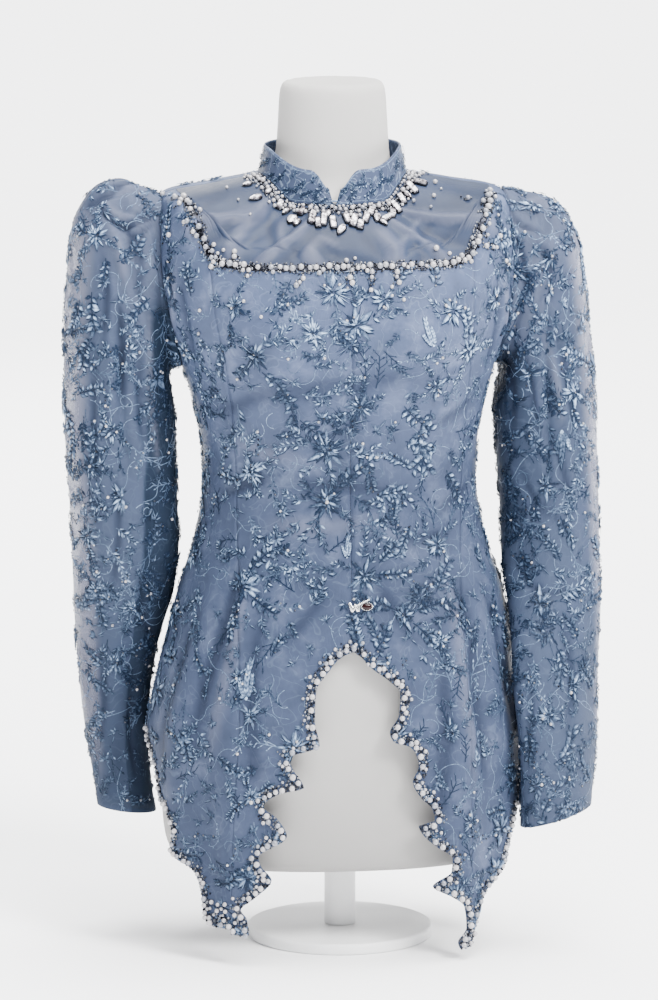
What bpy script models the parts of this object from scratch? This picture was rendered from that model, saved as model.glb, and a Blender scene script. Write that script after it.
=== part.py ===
"""Kebaya blouse on a limbless dress form: a stand-collar blouse with a plain yoke, princess seams,
puffed sleeves and a peplum that parts in an arch above two pointed tails.

Metres, +Z up, front facing -Y, the wearer's left at +X, floor at z = 0.
Cloth is a wall of one thickness on a torso surface that is worked out from a table of rings.
"""
import math

import bmesh
import bpy
import numpy as np
from mathutils import Vector
from mathutils.bvhtree import BVHTree

# ---------------------------------------------------------------- driving sizes
CLOTH = 0.0015            # wall of the embroidered cloth
COLLAR_CLOTH = 0.0020     # stiffened collar wall
SEAM_GAP = 0.0003         # between two pieces at a seam
BEAD_RAISE = 0.0022       # height of the beaded edge over the cloth
BEAD_BAND = 0.0060        # width of the beaded edge
BEAD_FADE = 0.0090        # where the beaded edge has run out into plain cloth
TRIM_REACH = 0.010        # how far above the cloth the search for it starts
TRIM_CLEARANCE = 0.0004   # between a panel and a trim laid on it, where the trim's points lie
TRIM_SAMPLES = 4          # places along each way of a trim's face where its clearance is tried
TRIM_ROUNDS = 5           # rounds of raising the trim where it is too close

ARMHOLE_BOTTOM = 0.595
ARMHOLE_TOP = 0.750
ARMHOLE_FRONT = math.radians(17.0)   # how far the armhole reaches forward from the side seam
ARMHOLE_BACK = math.radians(24.0)    # and how far back
ARMHOLE_SIDES = 16                   # straight stretches round one armhole
SIDE_HEM = 0.217                     # height of the hem at the side seam
ARCH_TOP = 0.3225                    # where the fronts part
NECK_LEVEL = 0.850
SHOULDER_END_OF_YOKE = 0.770         # level where the yoke meets the shoulder seam
YOKE_SIDE_GAP = 5.0                  # gap beside the yoke, in seam gaps, as its seam runs slantwise

# Rings of the torso that the blouse follows. A level is a height up to the chest; above it the
# rings climb over the shoulders, so sides, front and back have heights of their own.
RING_COLUMNS = ("level", "x_mid", "half_width", "y_side", "y_front", "y_back",
                "z_side", "z_front", "z_back", "squareness")
RINGS = (
    (0.000, -0.003, 0.1860, 0.000, -0.138, 0.125, 0.0000, 0.0000, 0.0000, 2.3),
    (0.120, -0.003, 0.1900, 0.000, -0.139, 0.127, 0.1200, 0.1200, 0.1200, 2.3),
    (0.217, -0.005, 0.1925, 0.000, -0.137, 0.127, 0.2170, 0.2170, 0.2170, 2.3),
    (0.280, -0.004, 0.1825, 0.000, -0.132, 0.126, 0.2800, 0.2800, 0.2800, 2.3),
    (0.323, -0.001, 0.1750, 0.000, -0.125, 0.121, 0.3230, 0.3230, 0.3230, 2.3),
    (0.366, 0.000, 0.1645, 0.002, -0.116, 0.113, 0.3660, 0.3660, 0.3660, 2.3),
    (0.415, 0.000, 0.1490, 0.004, -0.105, 0.100, 0.4150, 0.4150, 0.4150, 2.3),
    (0.481, 0.000, 0.1385, 0.006, -0.097, 0.090, 0.4810, 0.4810, 0.4810, 2.3),
    (0.515, 0.000, 0.1400, 0.008, -0.098, 0.091, 0.5150, 0.5150, 0.5150, 2.3),
    (0.560, 0.000, 0.1490, 0.012, -0.106, 0.098, 0.5600, 0.5600, 0.5600, 2.3),
    (0.595, -0.001, 0.1590, 0.016, -0.112, 0.104, 0.5950, 0.5950, 0.5950, 2.3),
    (0.645, -0.002, 0.1760, 0.022, -0.117, 0.112, 0.6450, 0.6450, 0.6450, 2.4),
    (0.700, -0.004, 0.1850, 0.028, -0.110, 0.119, 0.7000, 0.7000, 0.7000, 2.5),
    (0.750, -0.005, 0.1740, 0.032, -0.098, 0.118, 0.7670, 0.7190, 0.7360, 2.5),
    (0.800, -0.004, 0.1250, 0.035, -0.071, 0.110, 0.7780, 0.7430, 0.7680, 2.3),
    (0.850, -0.004, 0.0745, 0.037, -0.036, 0.100, 0.7865, 0.7635, 0.7880, 2.1),
)
SHOULDER_RISE_FROM = 0.60    # share of the half width where a ring starts to climb to its side

BUST_POINT = 0.078           # half the distance between the bust points
BUST_HEIGHT = 0.645
BUST_DEPTH = 0.018
BUST_SPREAD = (0.045, 0.050)

# Soft flares of the peplum: angle round from the front, height at the hem, width in degrees.
FLARES = (
    (-62.0, 0.004, 9.0),
    (-34.0, 0.007, 8.0),
    (33.0, 0.007, 8.0),
    (122.0, 0.004, 10.0),
    (152.0, 0.006, 10.0),
    (-122.0, 0.004, 10.0),
    (-152.0, 0.006, 10.0),
)
FLARE_TOP = 0.430

# Seam that runs from the yoke corner over the bust and down the tail: distance from the centre.
PRINCESS_COLUMNS = ("level", "wearer_right", "wearer_left")
PRINCESS = (
    (0.000, 0.120, 0.118),
    (0.165, 0.116, 0.117),
    (0.270, 0.111, 0.114),
    (0.366, 0.112, 0.114),
    (0.481, 0.112, 0.118),
    (0.595, 0.122, 0.124),
    (0.667, 0.136, 0.126),
    (0.732, 0.142, 0.127),
    (0.745, 0.147, 0.134),
    (0.750, 0.149, 0.138),
    (0.760, 0.154, 0.146),
    (0.770, 0.163, 0.154),
)

# Free inner edge of each front below the arch: height, distance from the centre.
ARCH_EDGE_RIGHT = (
    (0.0320, 0.103), (0.0490, 0.105), (0.0580, 0.110), (0.0720, 0.097), (0.0895, 0.083),
    (0.1045, 0.093), (0.1130, 0.095), (0.1355, 0.068), (0.1540, 0.078), (0.1660, 0.091),
    (0.1790, 0.076), (0.1855, 0.051), (0.2050, 0.062), (0.2162, 0.066), (0.2286, 0.035),
    (0.2540, 0.0395), (0.2830, 0.038), (0.3050, 0.0237), (0.3180, 0.011), (0.3225, 0.0),
)
ARCH_EDGE_LEFT = (
    (0.0120, 0.105), (0.0190, 0.103), (0.0325, 0.112), (0.0550, 0.1095), (0.0680, 0.096),
    (0.0790, 0.080), (0.0930, 0.097), (0.1070, 0.098), (0.1205, 0.083), (0.1340, 0.070),
    (0.1430, 0.066), (0.1470, 0.082), (0.1590, 0.080), (0.1720, 0.068), (0.1890, 0.060),
    (0.2040, 0.066), (0.2150, 0.064), (0.2255, 0.056), (0.2300, 0.041), (0.2405, 0.0365),
    (0.2575, 0.046), (0.2800, 0.0475), (0.2920, 0.037), (0.3060, 0.0184), (0.3180, 0.007),
    (0.3225, 0.0),
)
# Free outer edge of each tail, from its tip up to the side hem.
TAIL_EDGE_RIGHT = (
    (0.0370, 0.140), (0.0430, 0.148), (0.0665, 0.1505), (0.0925, 0.158), (0.0990, 0.167),
    (0.1070, 0.177), (0.1275, 0.1755), (0.1460, 0.180), (0.1585, 0.1885), (0.1810, 0.1915),
    (0.1940, 0.194), (0.2170, 0.200),
)
TAIL_EDGE_LEFT = (
    (0.0150, 0.119), (0.0310, 0.1236), (0.0480, 0.129), (0.0675, 0.140), (0.0780, 0.1517),
    (0.0880, 0.160), (0.1020, 0.1635), (0.1200, 0.168), (0.1380, 0.1727), (0.1495, 0.1775),
    (0.2170, 0.185),
)
# Levels of the cloth between the side hem and the armholes, and above the armholes.
LOWER_LEVELS = (0.217, 0.2230, 0.2260, 0.2500, 0.2800, 0.3010, 0.3225, 0.3440, 0.3660, 0.3900,
                0.4150, 0.4480, 0.4810, 0.5150, 0.5400, 0.5700, 0.5950)
YOKE_SIDE_LEVELS = (0.7545, 0.7590, 0.7635, 0.7670)
TOP_LEVELS = (0.770, 0.785, 0.800, 0.825, 0.850)

CENTRE_COLUMNS = 6           # faces across a centre front piece, and half across the yoke
SIDE_COLUMNS = 4             # faces across a side front piece
BACK_SCALLOPS = 4            # scallops of the hem across one back piece
BACK_SCALLOP_DEPTH = 0.0045

# Sleeve rings from the shoulder to the wrist. Each ring is an oval from an outer to an inner point.
SLEEVE_COLUMNS = ("outer_x", "outer_y", "outer_z", "inner_x", "inner_y", "inner_z", "half_depth",
                  "gather")
SLEEVE_RIGHT = (
    (0.2020, 0.033, 0.7765, 0.1710, 0.026, 0.5880, 0.0560, 0.0026),
    (0.2210, 0.033, 0.7835, 0.1725, 0.026, 0.5830, 0.0610, 0.0032),
    (0.2410, 0.032, 0.7790, 0.1715, 0.026, 0.5760, 0.0625, 0.0026),
    (0.2570, 0.031, 0.7640, 0.1700, 0.025, 0.5680, 0.0620, 0.0014),
    (0.2690, 0.030, 0.7400, 0.1685, 0.024, 0.5590, 0.0600, 0.0006),
    (0.2740, 0.030, 0.7050, 0.1668, 0.024, 0.5460, 0.0560, 0.0),
    (0.2775, 0.029, 0.6600, 0.1660, 0.024, 0.5280, 0.0520, 0.0),
    (0.2790, 0.029, 0.6150, 0.1656, 0.024, 0.5080, 0.0500, 0.0),
    (0.2790, 0.029, 0.5650, 0.1653, 0.025, 0.4850, 0.0490, 0.0),
    (0.2780, 0.030, 0.5100, 0.1645, 0.027, 0.4550, 0.0480, 0.0),
    (0.2740, 0.032, 0.4500, 0.1625, 0.032, 0.4120, 0.0460, 0.0),
    (0.2710, 0.037, 0.3900, 0.1665, 0.046, 0.3620, 0.0420, 0.0),
    (0.2680, 0.045, 0.3330, 0.1790, 0.062, 0.3140, 0.0380, 0.0),
    (0.2630, 0.053, 0.2690, 0.1900, 0.070, 0.2560, 0.0340, 0.0),
    (0.2565, 0.058, 0.2080, 0.1935, 0.070, 0.1990, 0.0310, 0.0),
    (0.2500, 0.060, 0.1670, 0.1900, 0.067, 0.1590, 0.0300, 0.0),
    (0.2445, 0.060, 0.1290, 0.1850, 0.064, 0.1220, 0.0285, 0.0),
)
SLEEVE_LEFT = (
    (0.1950, 0.033, 0.7640, 0.1690, 0.024, 0.5880, 0.0560, 0.0022),
    (0.2080, 0.033, 0.7610, 0.1700, 0.024, 0.5820, 0.0600, 0.0028),
    (0.2220, 0.032, 0.7550, 0.1685, 0.024, 0.5750, 0.0610, 0.0024),
    (0.2350, 0.030, 0.7410, 0.1660, 0.023, 0.5660, 0.0600, 0.0014),
    (0.2450, 0.028, 0.7190, 0.1630, 0.022, 0.5560, 0.0580, 0.0006),
    (0.2525, 0.026, 0.6890, 0.1592, 0.020, 0.5450, 0.0560, 0.0),
    (0.2565, 0.024, 0.6410, 0.1610, 0.018, 0.5250, 0.0530, 0.0),
    (0.2615, 0.021, 0.5950, 0.1625, 0.015, 0.5020, 0.0510, 0.0),
    (0.2640, 0.016, 0.5450, 0.1640, 0.010, 0.4750, 0.0500, 0.0),
    (0.2650, 0.010, 0.4850, 0.1655, 0.000, 0.4400, 0.0480, 0.0),
    (0.2650, 0.002, 0.4150, 0.1660, -0.018, 0.3930, 0.0440, 0.0),
    (0.2640, -0.008, 0.3500, 0.1710, -0.060, 0.3370, 0.0310, 0.0),
    (0.2610, -0.014, 0.2880, 0.1720, -0.087, 0.2760, 0.0260, 0.0),
    (0.2590, -0.018, 0.2350, 0.1775, -0.093, 0.2220, 0.0255, 0.0),
    (0.2560, -0.021, 0.1900, 0.1810, -0.090, 0.1770, 0.0260, 0.0),
    (0.2512, -0.024, 0.1400, 0.1820, -0.083, 0.1270, 0.0260, 0.0),
)
SLEEVE_COLUMNS_ROUND = 2 * ARMHOLE_SIDES
SLEEVE_RISE = 0.0040                  # how far the sleeve stands straight off its seam
GATHERED_ARC = math.radians(115.0)    # the gathers fade out this far from the shoulder point

# Deep folds of the sleeve heads: ring, angle round from the shoulder point to the front, depth,
# how many rings and how wide an angle it spreads over.
SLEEVE_FOLDS = {
    "right": ((2.6, 50.0, 0.0080, 0.7, 22.0), (4.2, 66.0, 0.0060, 0.8, 20.0),
              (9.5, 95.0, 0.0040, 0.9, 30.0), (12.0, 60.0, 0.0035, 0.8, 35.0)),
    "left": ((2.4, 48.0, 0.0060, 0.8, 22.0), (4.6, 70.0, 0.0050, 0.9, 20.0),
             (8.6, 100.0, 0.0040, 0.9, 30.0), (11.4, 70.0, 0.0035, 0.8, 35.0)),
}

# Collar: rises from the neck seam and leans in; its two halves stop short of each other in front.
COLLAR_TOP_SIDE = 0.8160
COLLAR_TOP_FRONT = 0.7990
COLLAR_LEAN = 0.0060
COLLAR_SEAT = 0.0009                  # how far the collar's foot stands over the neck seam
NECK_SEAM_GAP = 0.0004                # extra room between the body's neck edge and the collar
COLLAR_FRONT_ARC = (math.radians(25.0), math.radians(80.0))   # the top rises to its side height
COLLAR_CROWDING = 1.5                 # the collar's columns crowd towards the notch
NOTCH_ANGLE = math.radians(-3.5)
NOTCH_HALF_BASE = 0.0030
NOTCH_HALF_TOP = 0.0055
COLLAR_CORNER = math.radians(20.0)    # arc over which the front corner is rounded off
COLLAR_CORNER_DROP = 0.55             # share of the height that the corner loses
COLLAR_COLUMNS = 14
COLLAR_ROWS = 4

# Dress form: rings below the bust, then the blouse's own rings drawn in by an ease (level, ease),
# then the neck.
FORM_LOWER = (
    (0.0890, -0.002, 0.1600, 0.000, -0.098, 0.095, 0.0890, 0.0890, 0.0890, 2.3),
    (0.0905, -0.002, 0.1680, 0.000, -0.108, 0.104, 0.0905, 0.0905, 0.0905, 2.3),
    (0.0960, -0.002, 0.1745, 0.000, -0.114, 0.110, 0.0960, 0.0960, 0.0960, 2.3),
    (0.1080, -0.002, 0.1790, 0.000, -0.118, 0.114, 0.1080, 0.1080, 0.1080, 2.3),
    (0.1300, -0.002, 0.1820, 0.000, -0.121, 0.117, 0.1300, 0.1300, 0.1300, 2.3),
    (0.1700, -0.002, 0.1820, 0.000, -0.121, 0.117, 0.1700, 0.1700, 0.1700, 2.3),
    (0.2170, -0.002, 0.1805, 0.000, -0.120, 0.116, 0.2170, 0.2170, 0.2170, 2.3),
    (0.2800, -0.001, 0.1730, 0.000, -0.117, 0.113, 0.2800, 0.2800, 0.2800, 2.3),
    (0.3230, 0.000, 0.1660, 0.000, -0.113, 0.109, 0.3230, 0.3230, 0.3230, 2.3),
    (0.3660, 0.000, 0.1560, 0.002, -0.107, 0.104, 0.3660, 0.3660, 0.3660, 2.3),
    (0.4150, 0.000, 0.1430, 0.004, -0.098, 0.094, 0.4150, 0.4150, 0.4150, 2.3),
    (0.4480, 0.000, 0.1360, 0.005, -0.094, 0.088, 0.4480, 0.4480, 0.4480, 2.3),
    (0.4810, 0.000, 0.1335, 0.006, -0.092, 0.085, 0.4810, 0.4810, 0.4810, 2.3),
    (0.5150, 0.000, 0.1350, 0.008, -0.093, 0.086, 0.5150, 0.5150, 0.5150, 2.3),
    (0.5600, 0.000, 0.1440, 0.012, -0.101, 0.093, 0.5600, 0.5600, 0.5600, 2.3),
)
FORM_EASE = (
    (0.595, 0.0045), (0.645, 0.0045), (0.700, 0.0038), (0.732, 0.0034), (0.750, 0.0032),
    (0.770, 0.0066), (0.785, 0.0060), (0.800, 0.0026), (0.825, 0.0019), (0.850, 0.0025),
)
FORM_NECK = (
    (0.860, -0.004, 0.0625, 0.039, -0.014, 0.0940, 0.7910, 0.7740, 0.7920, 2.1),
    (0.870, -0.004, 0.0585, 0.041, -0.005, 0.0925, 0.8020, 0.7890, 0.8020, 2.0),
    (0.880, -0.003, 0.0570, 0.043, -0.002, 0.0910, 0.8200, 0.8140, 0.8200, 2.0),
    (0.890, -0.003, 0.0555, 0.045, 0.000, 0.0900, 0.8500, 0.8470, 0.8500, 2.0),
    (0.900, -0.003, 0.0545, 0.045, 0.0010, 0.0890, 0.8680, 0.8670, 0.8680, 2.0),
    (0.910, -0.003, 0.0525, 0.045, 0.0030, 0.0870, 0.8770, 0.8765, 0.8770, 2.0),
    (0.920, -0.003, 0.0480, 0.045, 0.0080, 0.0820, 0.8800, 0.8800, 0.8800, 2.0),
)
FORM_COLUMNS_ROUND = 36

STAND_BASE_RADIUS = 0.095
STAND_BASE_HEIGHT = 0.012
STAND_POLE_RADIUS = 0.016
STAND_BEVEL = 0.003

# Beaded band along the yoke seam.
YOKE_BAND = 0.0090
YOKE_BAND_THICK = 0.0034
YOKE_BAND_EDGE = 0.0018
YOKE_BAND_STEPS_SIDE = 12
YOKE_BAND_STEPS_BOTTOM = 24
NEAREST_STEPS = 12        # steps, trial moves and largest moves of the search for the
NEAREST_TURN = 0.005      # nearest torso point
NEAREST_LEVEL = 0.001
NEAREST_MOST_TURN = 0.05
NEAREST_MOST_LEVEL = 0.01

# Jewelled neck trim: a band of pearls with crystal drops below it.
NECK_BAND = 0.0070
NECK_BAND_FROM_SEAM = 0.0040
NECK_THICK = 0.0032
NECK_STEPS = 35
NECK_HALF_ARC = math.radians(86.0)
DROP_LENGTH = 0.0125
DROP_ARC = math.radians(62.0)

# Clasp at the front waist.
CLASP_HEIGHT = 0.367
CLASP_X = 0.0045
CLASP_CLEARANCE = 0.0006
BEZEL_OUTLINE = ((-0.0110, 0.0040), (-0.0085, 0.0050), (-0.0060, -0.0005), (-0.0035, 0.0035),
                 (-0.0010, -0.0005), (0.0000, 0.0040), (0.0022, 0.0034), (0.0002, -0.0050),
                 (-0.0022, -0.0052), (-0.0036, -0.0015), (-0.0060, -0.0056), (-0.0080, -0.0050))
BEZEL_THICK = 0.0030
BEZEL_SHIFT = 0.0020
STONE_SIZE = (0.0110, 0.0072, 0.0050)
STONE_OFFSET = 0.0103
STONE_SINK = 0.0006        # the stone sits this much lower than the bezel, as the waist curves away

COLOURS = {
    "cloth": ((0.205, 0.262, 0.372, 1.0), 0.45, 0.0),
    "sleeve_cloth": ((0.165, 0.210, 0.300, 1.0), 0.50, 0.0),
    "yoke_cloth": ((0.245, 0.300, 0.405, 1.0), 0.38, 0.0),
    "beads": ((0.620, 0.630, 0.680, 1.0), 0.25, 0.3),
    "form": ((0.640, 0.630, 0.610, 1.0), 0.70, 0.0),
    "stand": ((0.700, 0.695, 0.680, 1.0), 0.45, 0.0),
    "silver": ((0.780, 0.780, 0.800, 1.0), 0.20, 1.0),
    "red_stone": ((0.190, 0.004, 0.010, 1.0), 0.08, 0.0),
}


# ---------------------------------------------------------------- tables and surfaces
def column(table, columns, name):
    """One named column of a table, as an array."""
    return np.array([row[columns.index(name)] for row in table], dtype=float)


def slopes(knots, values):
    """Slopes of a curve through the values that never overshoots them."""
    run = np.diff(knots)
    rise = np.diff(values) / run
    result = np.zeros(len(values))
    result[0] = rise[0]
    result[-1] = rise[-1]
    for i in range(1, len(values) - 1):
        if rise[i - 1] * rise[i] > 0.0:
            before = 2.0 * run[i] + run[i - 1]
            after = run[i] + 2.0 * run[i - 1]
            result[i] = (before + after) / (before / rise[i - 1] + after / rise[i])
    return result


class SmoothTable:
    """A table of rings read at any level, each column as a smooth curve."""

    def __init__(self, table, columns):
        self.knots = column(table, columns, "level")
        self.values = {name: column(table, columns, name) for name in columns}
        self.slopes = {name: slopes(self.knots, self.values[name]) for name in columns}

    def at(self, level):
        knots = self.knots
        level = min(max(level, knots[0]), knots[-1])
        i = min(int(np.searchsorted(knots, level, side="right")) - 1, len(knots) - 2)
        step = knots[i + 1] - knots[i]
        s = (level - knots[i]) / step
        h00 = (1.0 + 2.0 * s) * (1.0 - s) ** 2
        h10 = s * (1.0 - s) ** 2
        h01 = s * s * (3.0 - 2.0 * s)
        h11 = s * s * (s - 1.0)
        return {
            name: h00 * v[i] + h01 * v[i + 1] + step * (h10 * self.slopes[name][i]
                                                        + h11 * self.slopes[name][i + 1])
            for name, v in self.values.items()
        }


TORSO = SmoothTable(RINGS, RING_COLUMNS)


def smoothstep(low, high, value):
    s = min(max((value - low) / (high - low), 0.0), 1.0)
    return s * s * (3.0 - 2.0 * s)


def ring_point(ring, angle):
    """Point of a ring: angle 0 in front, +90 degrees at the wearer's left."""
    power = 2.0 / ring["squareness"]
    across = math.copysign(abs(math.sin(angle)) ** power, math.sin(angle))
    forward = math.copysign(abs(math.cos(angle)) ** power, math.cos(angle))
    if forward > 0.0:
        y = ring["y_side"] + (ring["y_front"] - ring["y_side"]) * forward
        z_middle = ring["z_front"]
    else:
        y = ring["y_side"] - (ring["y_back"] - ring["y_side"]) * forward
        z_middle = ring["z_back"]
    climb = smoothstep(SHOULDER_RISE_FROM, 1.0, abs(across))
    z = z_middle + (ring["z_side"] - z_middle) * climb
    return Vector((ring["x_mid"] + ring["half_width"] * across, y, z))


def bust(point):
    """How far the bust lifts the front at this point."""
    if point.y > 0.0:
        return 0.0
    lift = 0.0
    for side in (-BUST_POINT, BUST_POINT):
        u = (point.x - side) / BUST_SPREAD[0]
        v = (point.z - BUST_HEIGHT) / BUST_SPREAD[1]
        lift += BUST_DEPTH * math.exp(-u * u - v * v)
    return lift


def flare(level, angle):
    """How far a peplum flare stands out here."""
    fade = smoothstep(FLARE_TOP, SIDE_HEM, level)
    total = 0.0
    for degrees, height, width in FLARES:
        away = (math.degrees(angle) - degrees + 180.0) % 360.0 - 180.0
        total += height * math.exp(-(away / width) ** 2)
    return total * fade


def torso(level, angle):
    """Middle of the cloth wall at a level and an angle."""
    ring = TORSO.at(level)
    point = ring_point(ring, angle)
    point.y -= bust(point)
    outward = Vector((point.x - ring["x_mid"], point.y - ring["y_side"], 0.0)).normalized()
    return point + outward * flare(level, angle)


def torso_normal(level, angle):
    step = 0.002
    turn = 0.02
    along = torso(level, angle + turn) - torso(level, angle - turn)
    up = torso(min(level + step, NECK_LEVEL), angle) - torso(max(level - step, 0.0), angle)
    return along.cross(up).normalized()


def angle_at(level, x):
    """Angle of the front surface point that lies at x."""
    ring = TORSO.at(level)
    share = min(max((x - ring["x_mid"]) / ring["half_width"], -1.0), 1.0)
    sine = math.copysign(abs(share) ** (ring["squareness"] / 2.0), share)
    return math.asin(sine)


def turn_of(level, angle, distance):
    """Change of angle that moves a point this far round the ring."""
    step = 0.01
    run = (torso(level, angle + step) - torso(level, angle - step)).length / (2.0 * step)
    return distance / run


def climb_of(level, angle, distance):
    """Change of level that moves a point this far up the surface."""
    step = 0.002
    low = max(level - step, 0.0)
    high = min(level + step, NECK_LEVEL)
    run = (torso(high, angle) - torso(low, angle)).length / (high - low)
    return distance / run


# ---------------------------------------------------------------- armhole
def armhole_level(turn):
    """Level of the armhole point at this turn: 0 at the shoulder, 180 degrees under the arm."""
    middle = (ARMHOLE_TOP + ARMHOLE_BOTTOM) / 2.0
    half = (ARMHOLE_TOP - ARMHOLE_BOTTOM) / 2.0
    return middle + half * math.cos(turn)


def armhole_levels():
    steps = ARMHOLE_SIDES // 2
    return [armhole_level(math.pi * (1.0 - k / steps)) for k in range(steps + 1)]


def armhole_reach(level, widest):
    """Angle by which the armhole cuts into a panel at this level."""
    middle = (ARMHOLE_TOP + ARMHOLE_BOTTOM) / 2.0
    half = (ARMHOLE_TOP - ARMHOLE_BOTTOM) / 2.0
    share = (level - middle) / half
    if abs(share) >= 1.0:
        return 0.0
    return widest * math.sqrt(1.0 - share * share)


def armhole_corners(side):
    """Corners of the armhole, from the shoulder point forwards and round, with their normals."""
    corners = []
    for k in range(ARMHOLE_SIDES):
        turn = 2.0 * math.pi * k / ARMHOLE_SIDES
        widest = ARMHOLE_FRONT if math.sin(turn) > 0.0 else ARMHOLE_BACK
        angle = side * (math.pi / 2.0 - widest * math.sin(turn))
        level = armhole_level(turn)
        corners.append((torso(level, angle), torso_normal(level, angle)))
    return corners


YOKE_LEVEL = armhole_level(2.0 * 2.0 * math.pi / ARMHOLE_SIDES)


# ---------------------------------------------------------------- meshes
def material(name):
    mat = bpy.data.materials.get(name)
    if mat is None:
        colour, roughness, metallic = COLOURS[name]
        mat = bpy.data.materials.new(name)
        mat.use_nodes = True
        shader = mat.node_tree.nodes["Principled BSDF"]
        shader.inputs["Base Color"].default_value = colour
        shader.inputs["Roughness"].default_value = roughness
        shader.inputs["Metallic"].default_value = metallic
        mat.diffuse_color = colour
    return mat


def new_object(name, mesh, mat_name, collection):
    obj = bpy.data.objects.new(name, mesh)
    mesh.materials.append(material(mat_name))
    collection.objects.link(obj)
    return obj


def grid_mesh(name, rows, closed=False):
    """Quads over rows of points; closed joins the last column to the first."""
    bm = bmesh.new()
    verts = [[bm.verts.new(point) for point in row] for row in rows]
    count = len(rows[0])
    for lower, upper in zip(verts, verts[1:]):
        for i in range(count if closed else count - 1):
            j = (i + 1) % count
            bm.faces.new((lower[i], lower[j], upper[j], upper[i]))
    mesh = bpy.data.meshes.new(name)
    bm.to_mesh(mesh)
    bm.free()
    mesh.shade_smooth()
    return mesh


def give_wall(obj, thickness, shares=None):
    """Solidify outwards from the inner skin; shares thin it point by point."""
    wall = obj.modifiers.new("wall", "SOLIDIFY")
    wall.thickness = thickness
    wall.offset = 1.0
    wall.use_rim = True
    if shares is not None:
        group = obj.vertex_groups.new(name="thickness")
        for index, share in enumerate(shares):
            group.add([index], share, "REPLACE")
        wall.vertex_group = "thickness"
    return wall


def skin_point(level, angle, offset):
    return torso(level, angle) + torso_normal(level, angle) * offset


def column_shares(width, columns, beaded_start, beaded_end):
    """Places of the columns across a row, with the beaded edge's own columns where it has one."""
    shares = [k / columns for k in range(columns + 1)]
    band = BEAD_BAND / max(width, 1e-6)
    fade = BEAD_FADE / max(width, 1e-6)
    if beaded_start and fade < 0.55:
        rest = columns - 2
        shares = [0.0, band] + [fade + (1.0 - fade) * k / rest for k in range(rest + 1)]
    if beaded_end and fade < 0.55:
        rest = columns - 2
        shares = [(1.0 - fade) * k / rest for k in range(rest + 1)] + [1.0 - band, 1.0]
    return shares


def centre_front(level):
    return angle_at(level, 0.0)


def cloth_panel(name, levels, start, end, columns, collection, mat_name="cloth", bead=None,
                lift=None, split=None):
    """A piece of the body: start and end give its edge angles at a level, bead tells which edges
    are beaded there, lift moves a row's points along the surface, split is a middle column."""
    rows = []
    shares = []
    for level in levels:
        low = start(level)
        high = end(level)
        beaded_start, beaded_end, beaded_row = bead(level) if bead else (False, False, False)
        width = (high - low) / max(turn_of(level, (low + high) / 2.0, 1.0), 1e-6)
        places = column_shares(width, columns, beaded_start, beaded_end)
        row = []
        for place in places:
            angle = low + (high - low) * place
            if split:
                middle = split(level)
                angle = (low + (middle - low) * place * 2.0 if place < 0.5
                         else middle + (high - middle) * (place * 2.0 - 1.0))
            local = lift(level, angle) if lift else level
            row.append(skin_point(local, angle, -CLOTH / 2.0))
            from_start = place * width
            from_end = (1.0 - place) * width
            raised = (beaded_row
                      or (beaded_start and from_start < BEAD_BAND * 1.1)
                      or (beaded_end and from_end < BEAD_BAND * 1.1))
            shares.append(1.0 if raised else CLOTH / (CLOTH + BEAD_RAISE))
        rows.append(row)
    obj = new_object(name, grid_mesh(name, rows), mat_name, collection)
    give_wall(obj, CLOTH + BEAD_RAISE, shares)
    return obj


def table_reader(table):
    heights = [row[0] for row in table]
    values = [row[1] for row in table]
    return lambda level: float(np.interp(level, heights, values))


PRINCESS_LEVELS = column(PRINCESS, PRINCESS_COLUMNS, "level")


def princess_x(side, level):
    name = "wearer_left" if side > 0 else "wearer_right"
    return side * float(np.interp(level, PRINCESS_LEVELS, column(PRINCESS, PRINCESS_COLUMNS, name)))


def princess_angle(side, level):
    """Princess seam, which runs on as the side of the yoke up to the shoulder seam."""
    if level >= SHOULDER_END_OF_YOKE:
        return side * math.pi / 2.0
    return angle_at(level, princess_x(side, level))


def princess_edge(side, level, towards):
    """Edge angle of a piece beside the princess seam, on the seam's +angle or -angle side."""
    angle = princess_angle(side, level)
    gap = SEAM_GAP / 2.0
    if YOKE_LEVEL + 0.001 < level < SHOULDER_END_OF_YOKE:
        gap *= YOKE_SIDE_GAP
    return angle + towards * turn_of(level, angle, gap)


def merged_levels(*groups):
    """All levels of the groups in order, without ones that nearly coincide."""
    levels = sorted(level for group in groups for level in group)
    result = [levels[0]]
    for level in levels[1:]:
        if level - result[-1] > 0.0022:
            result.append(level)
    return result


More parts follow.
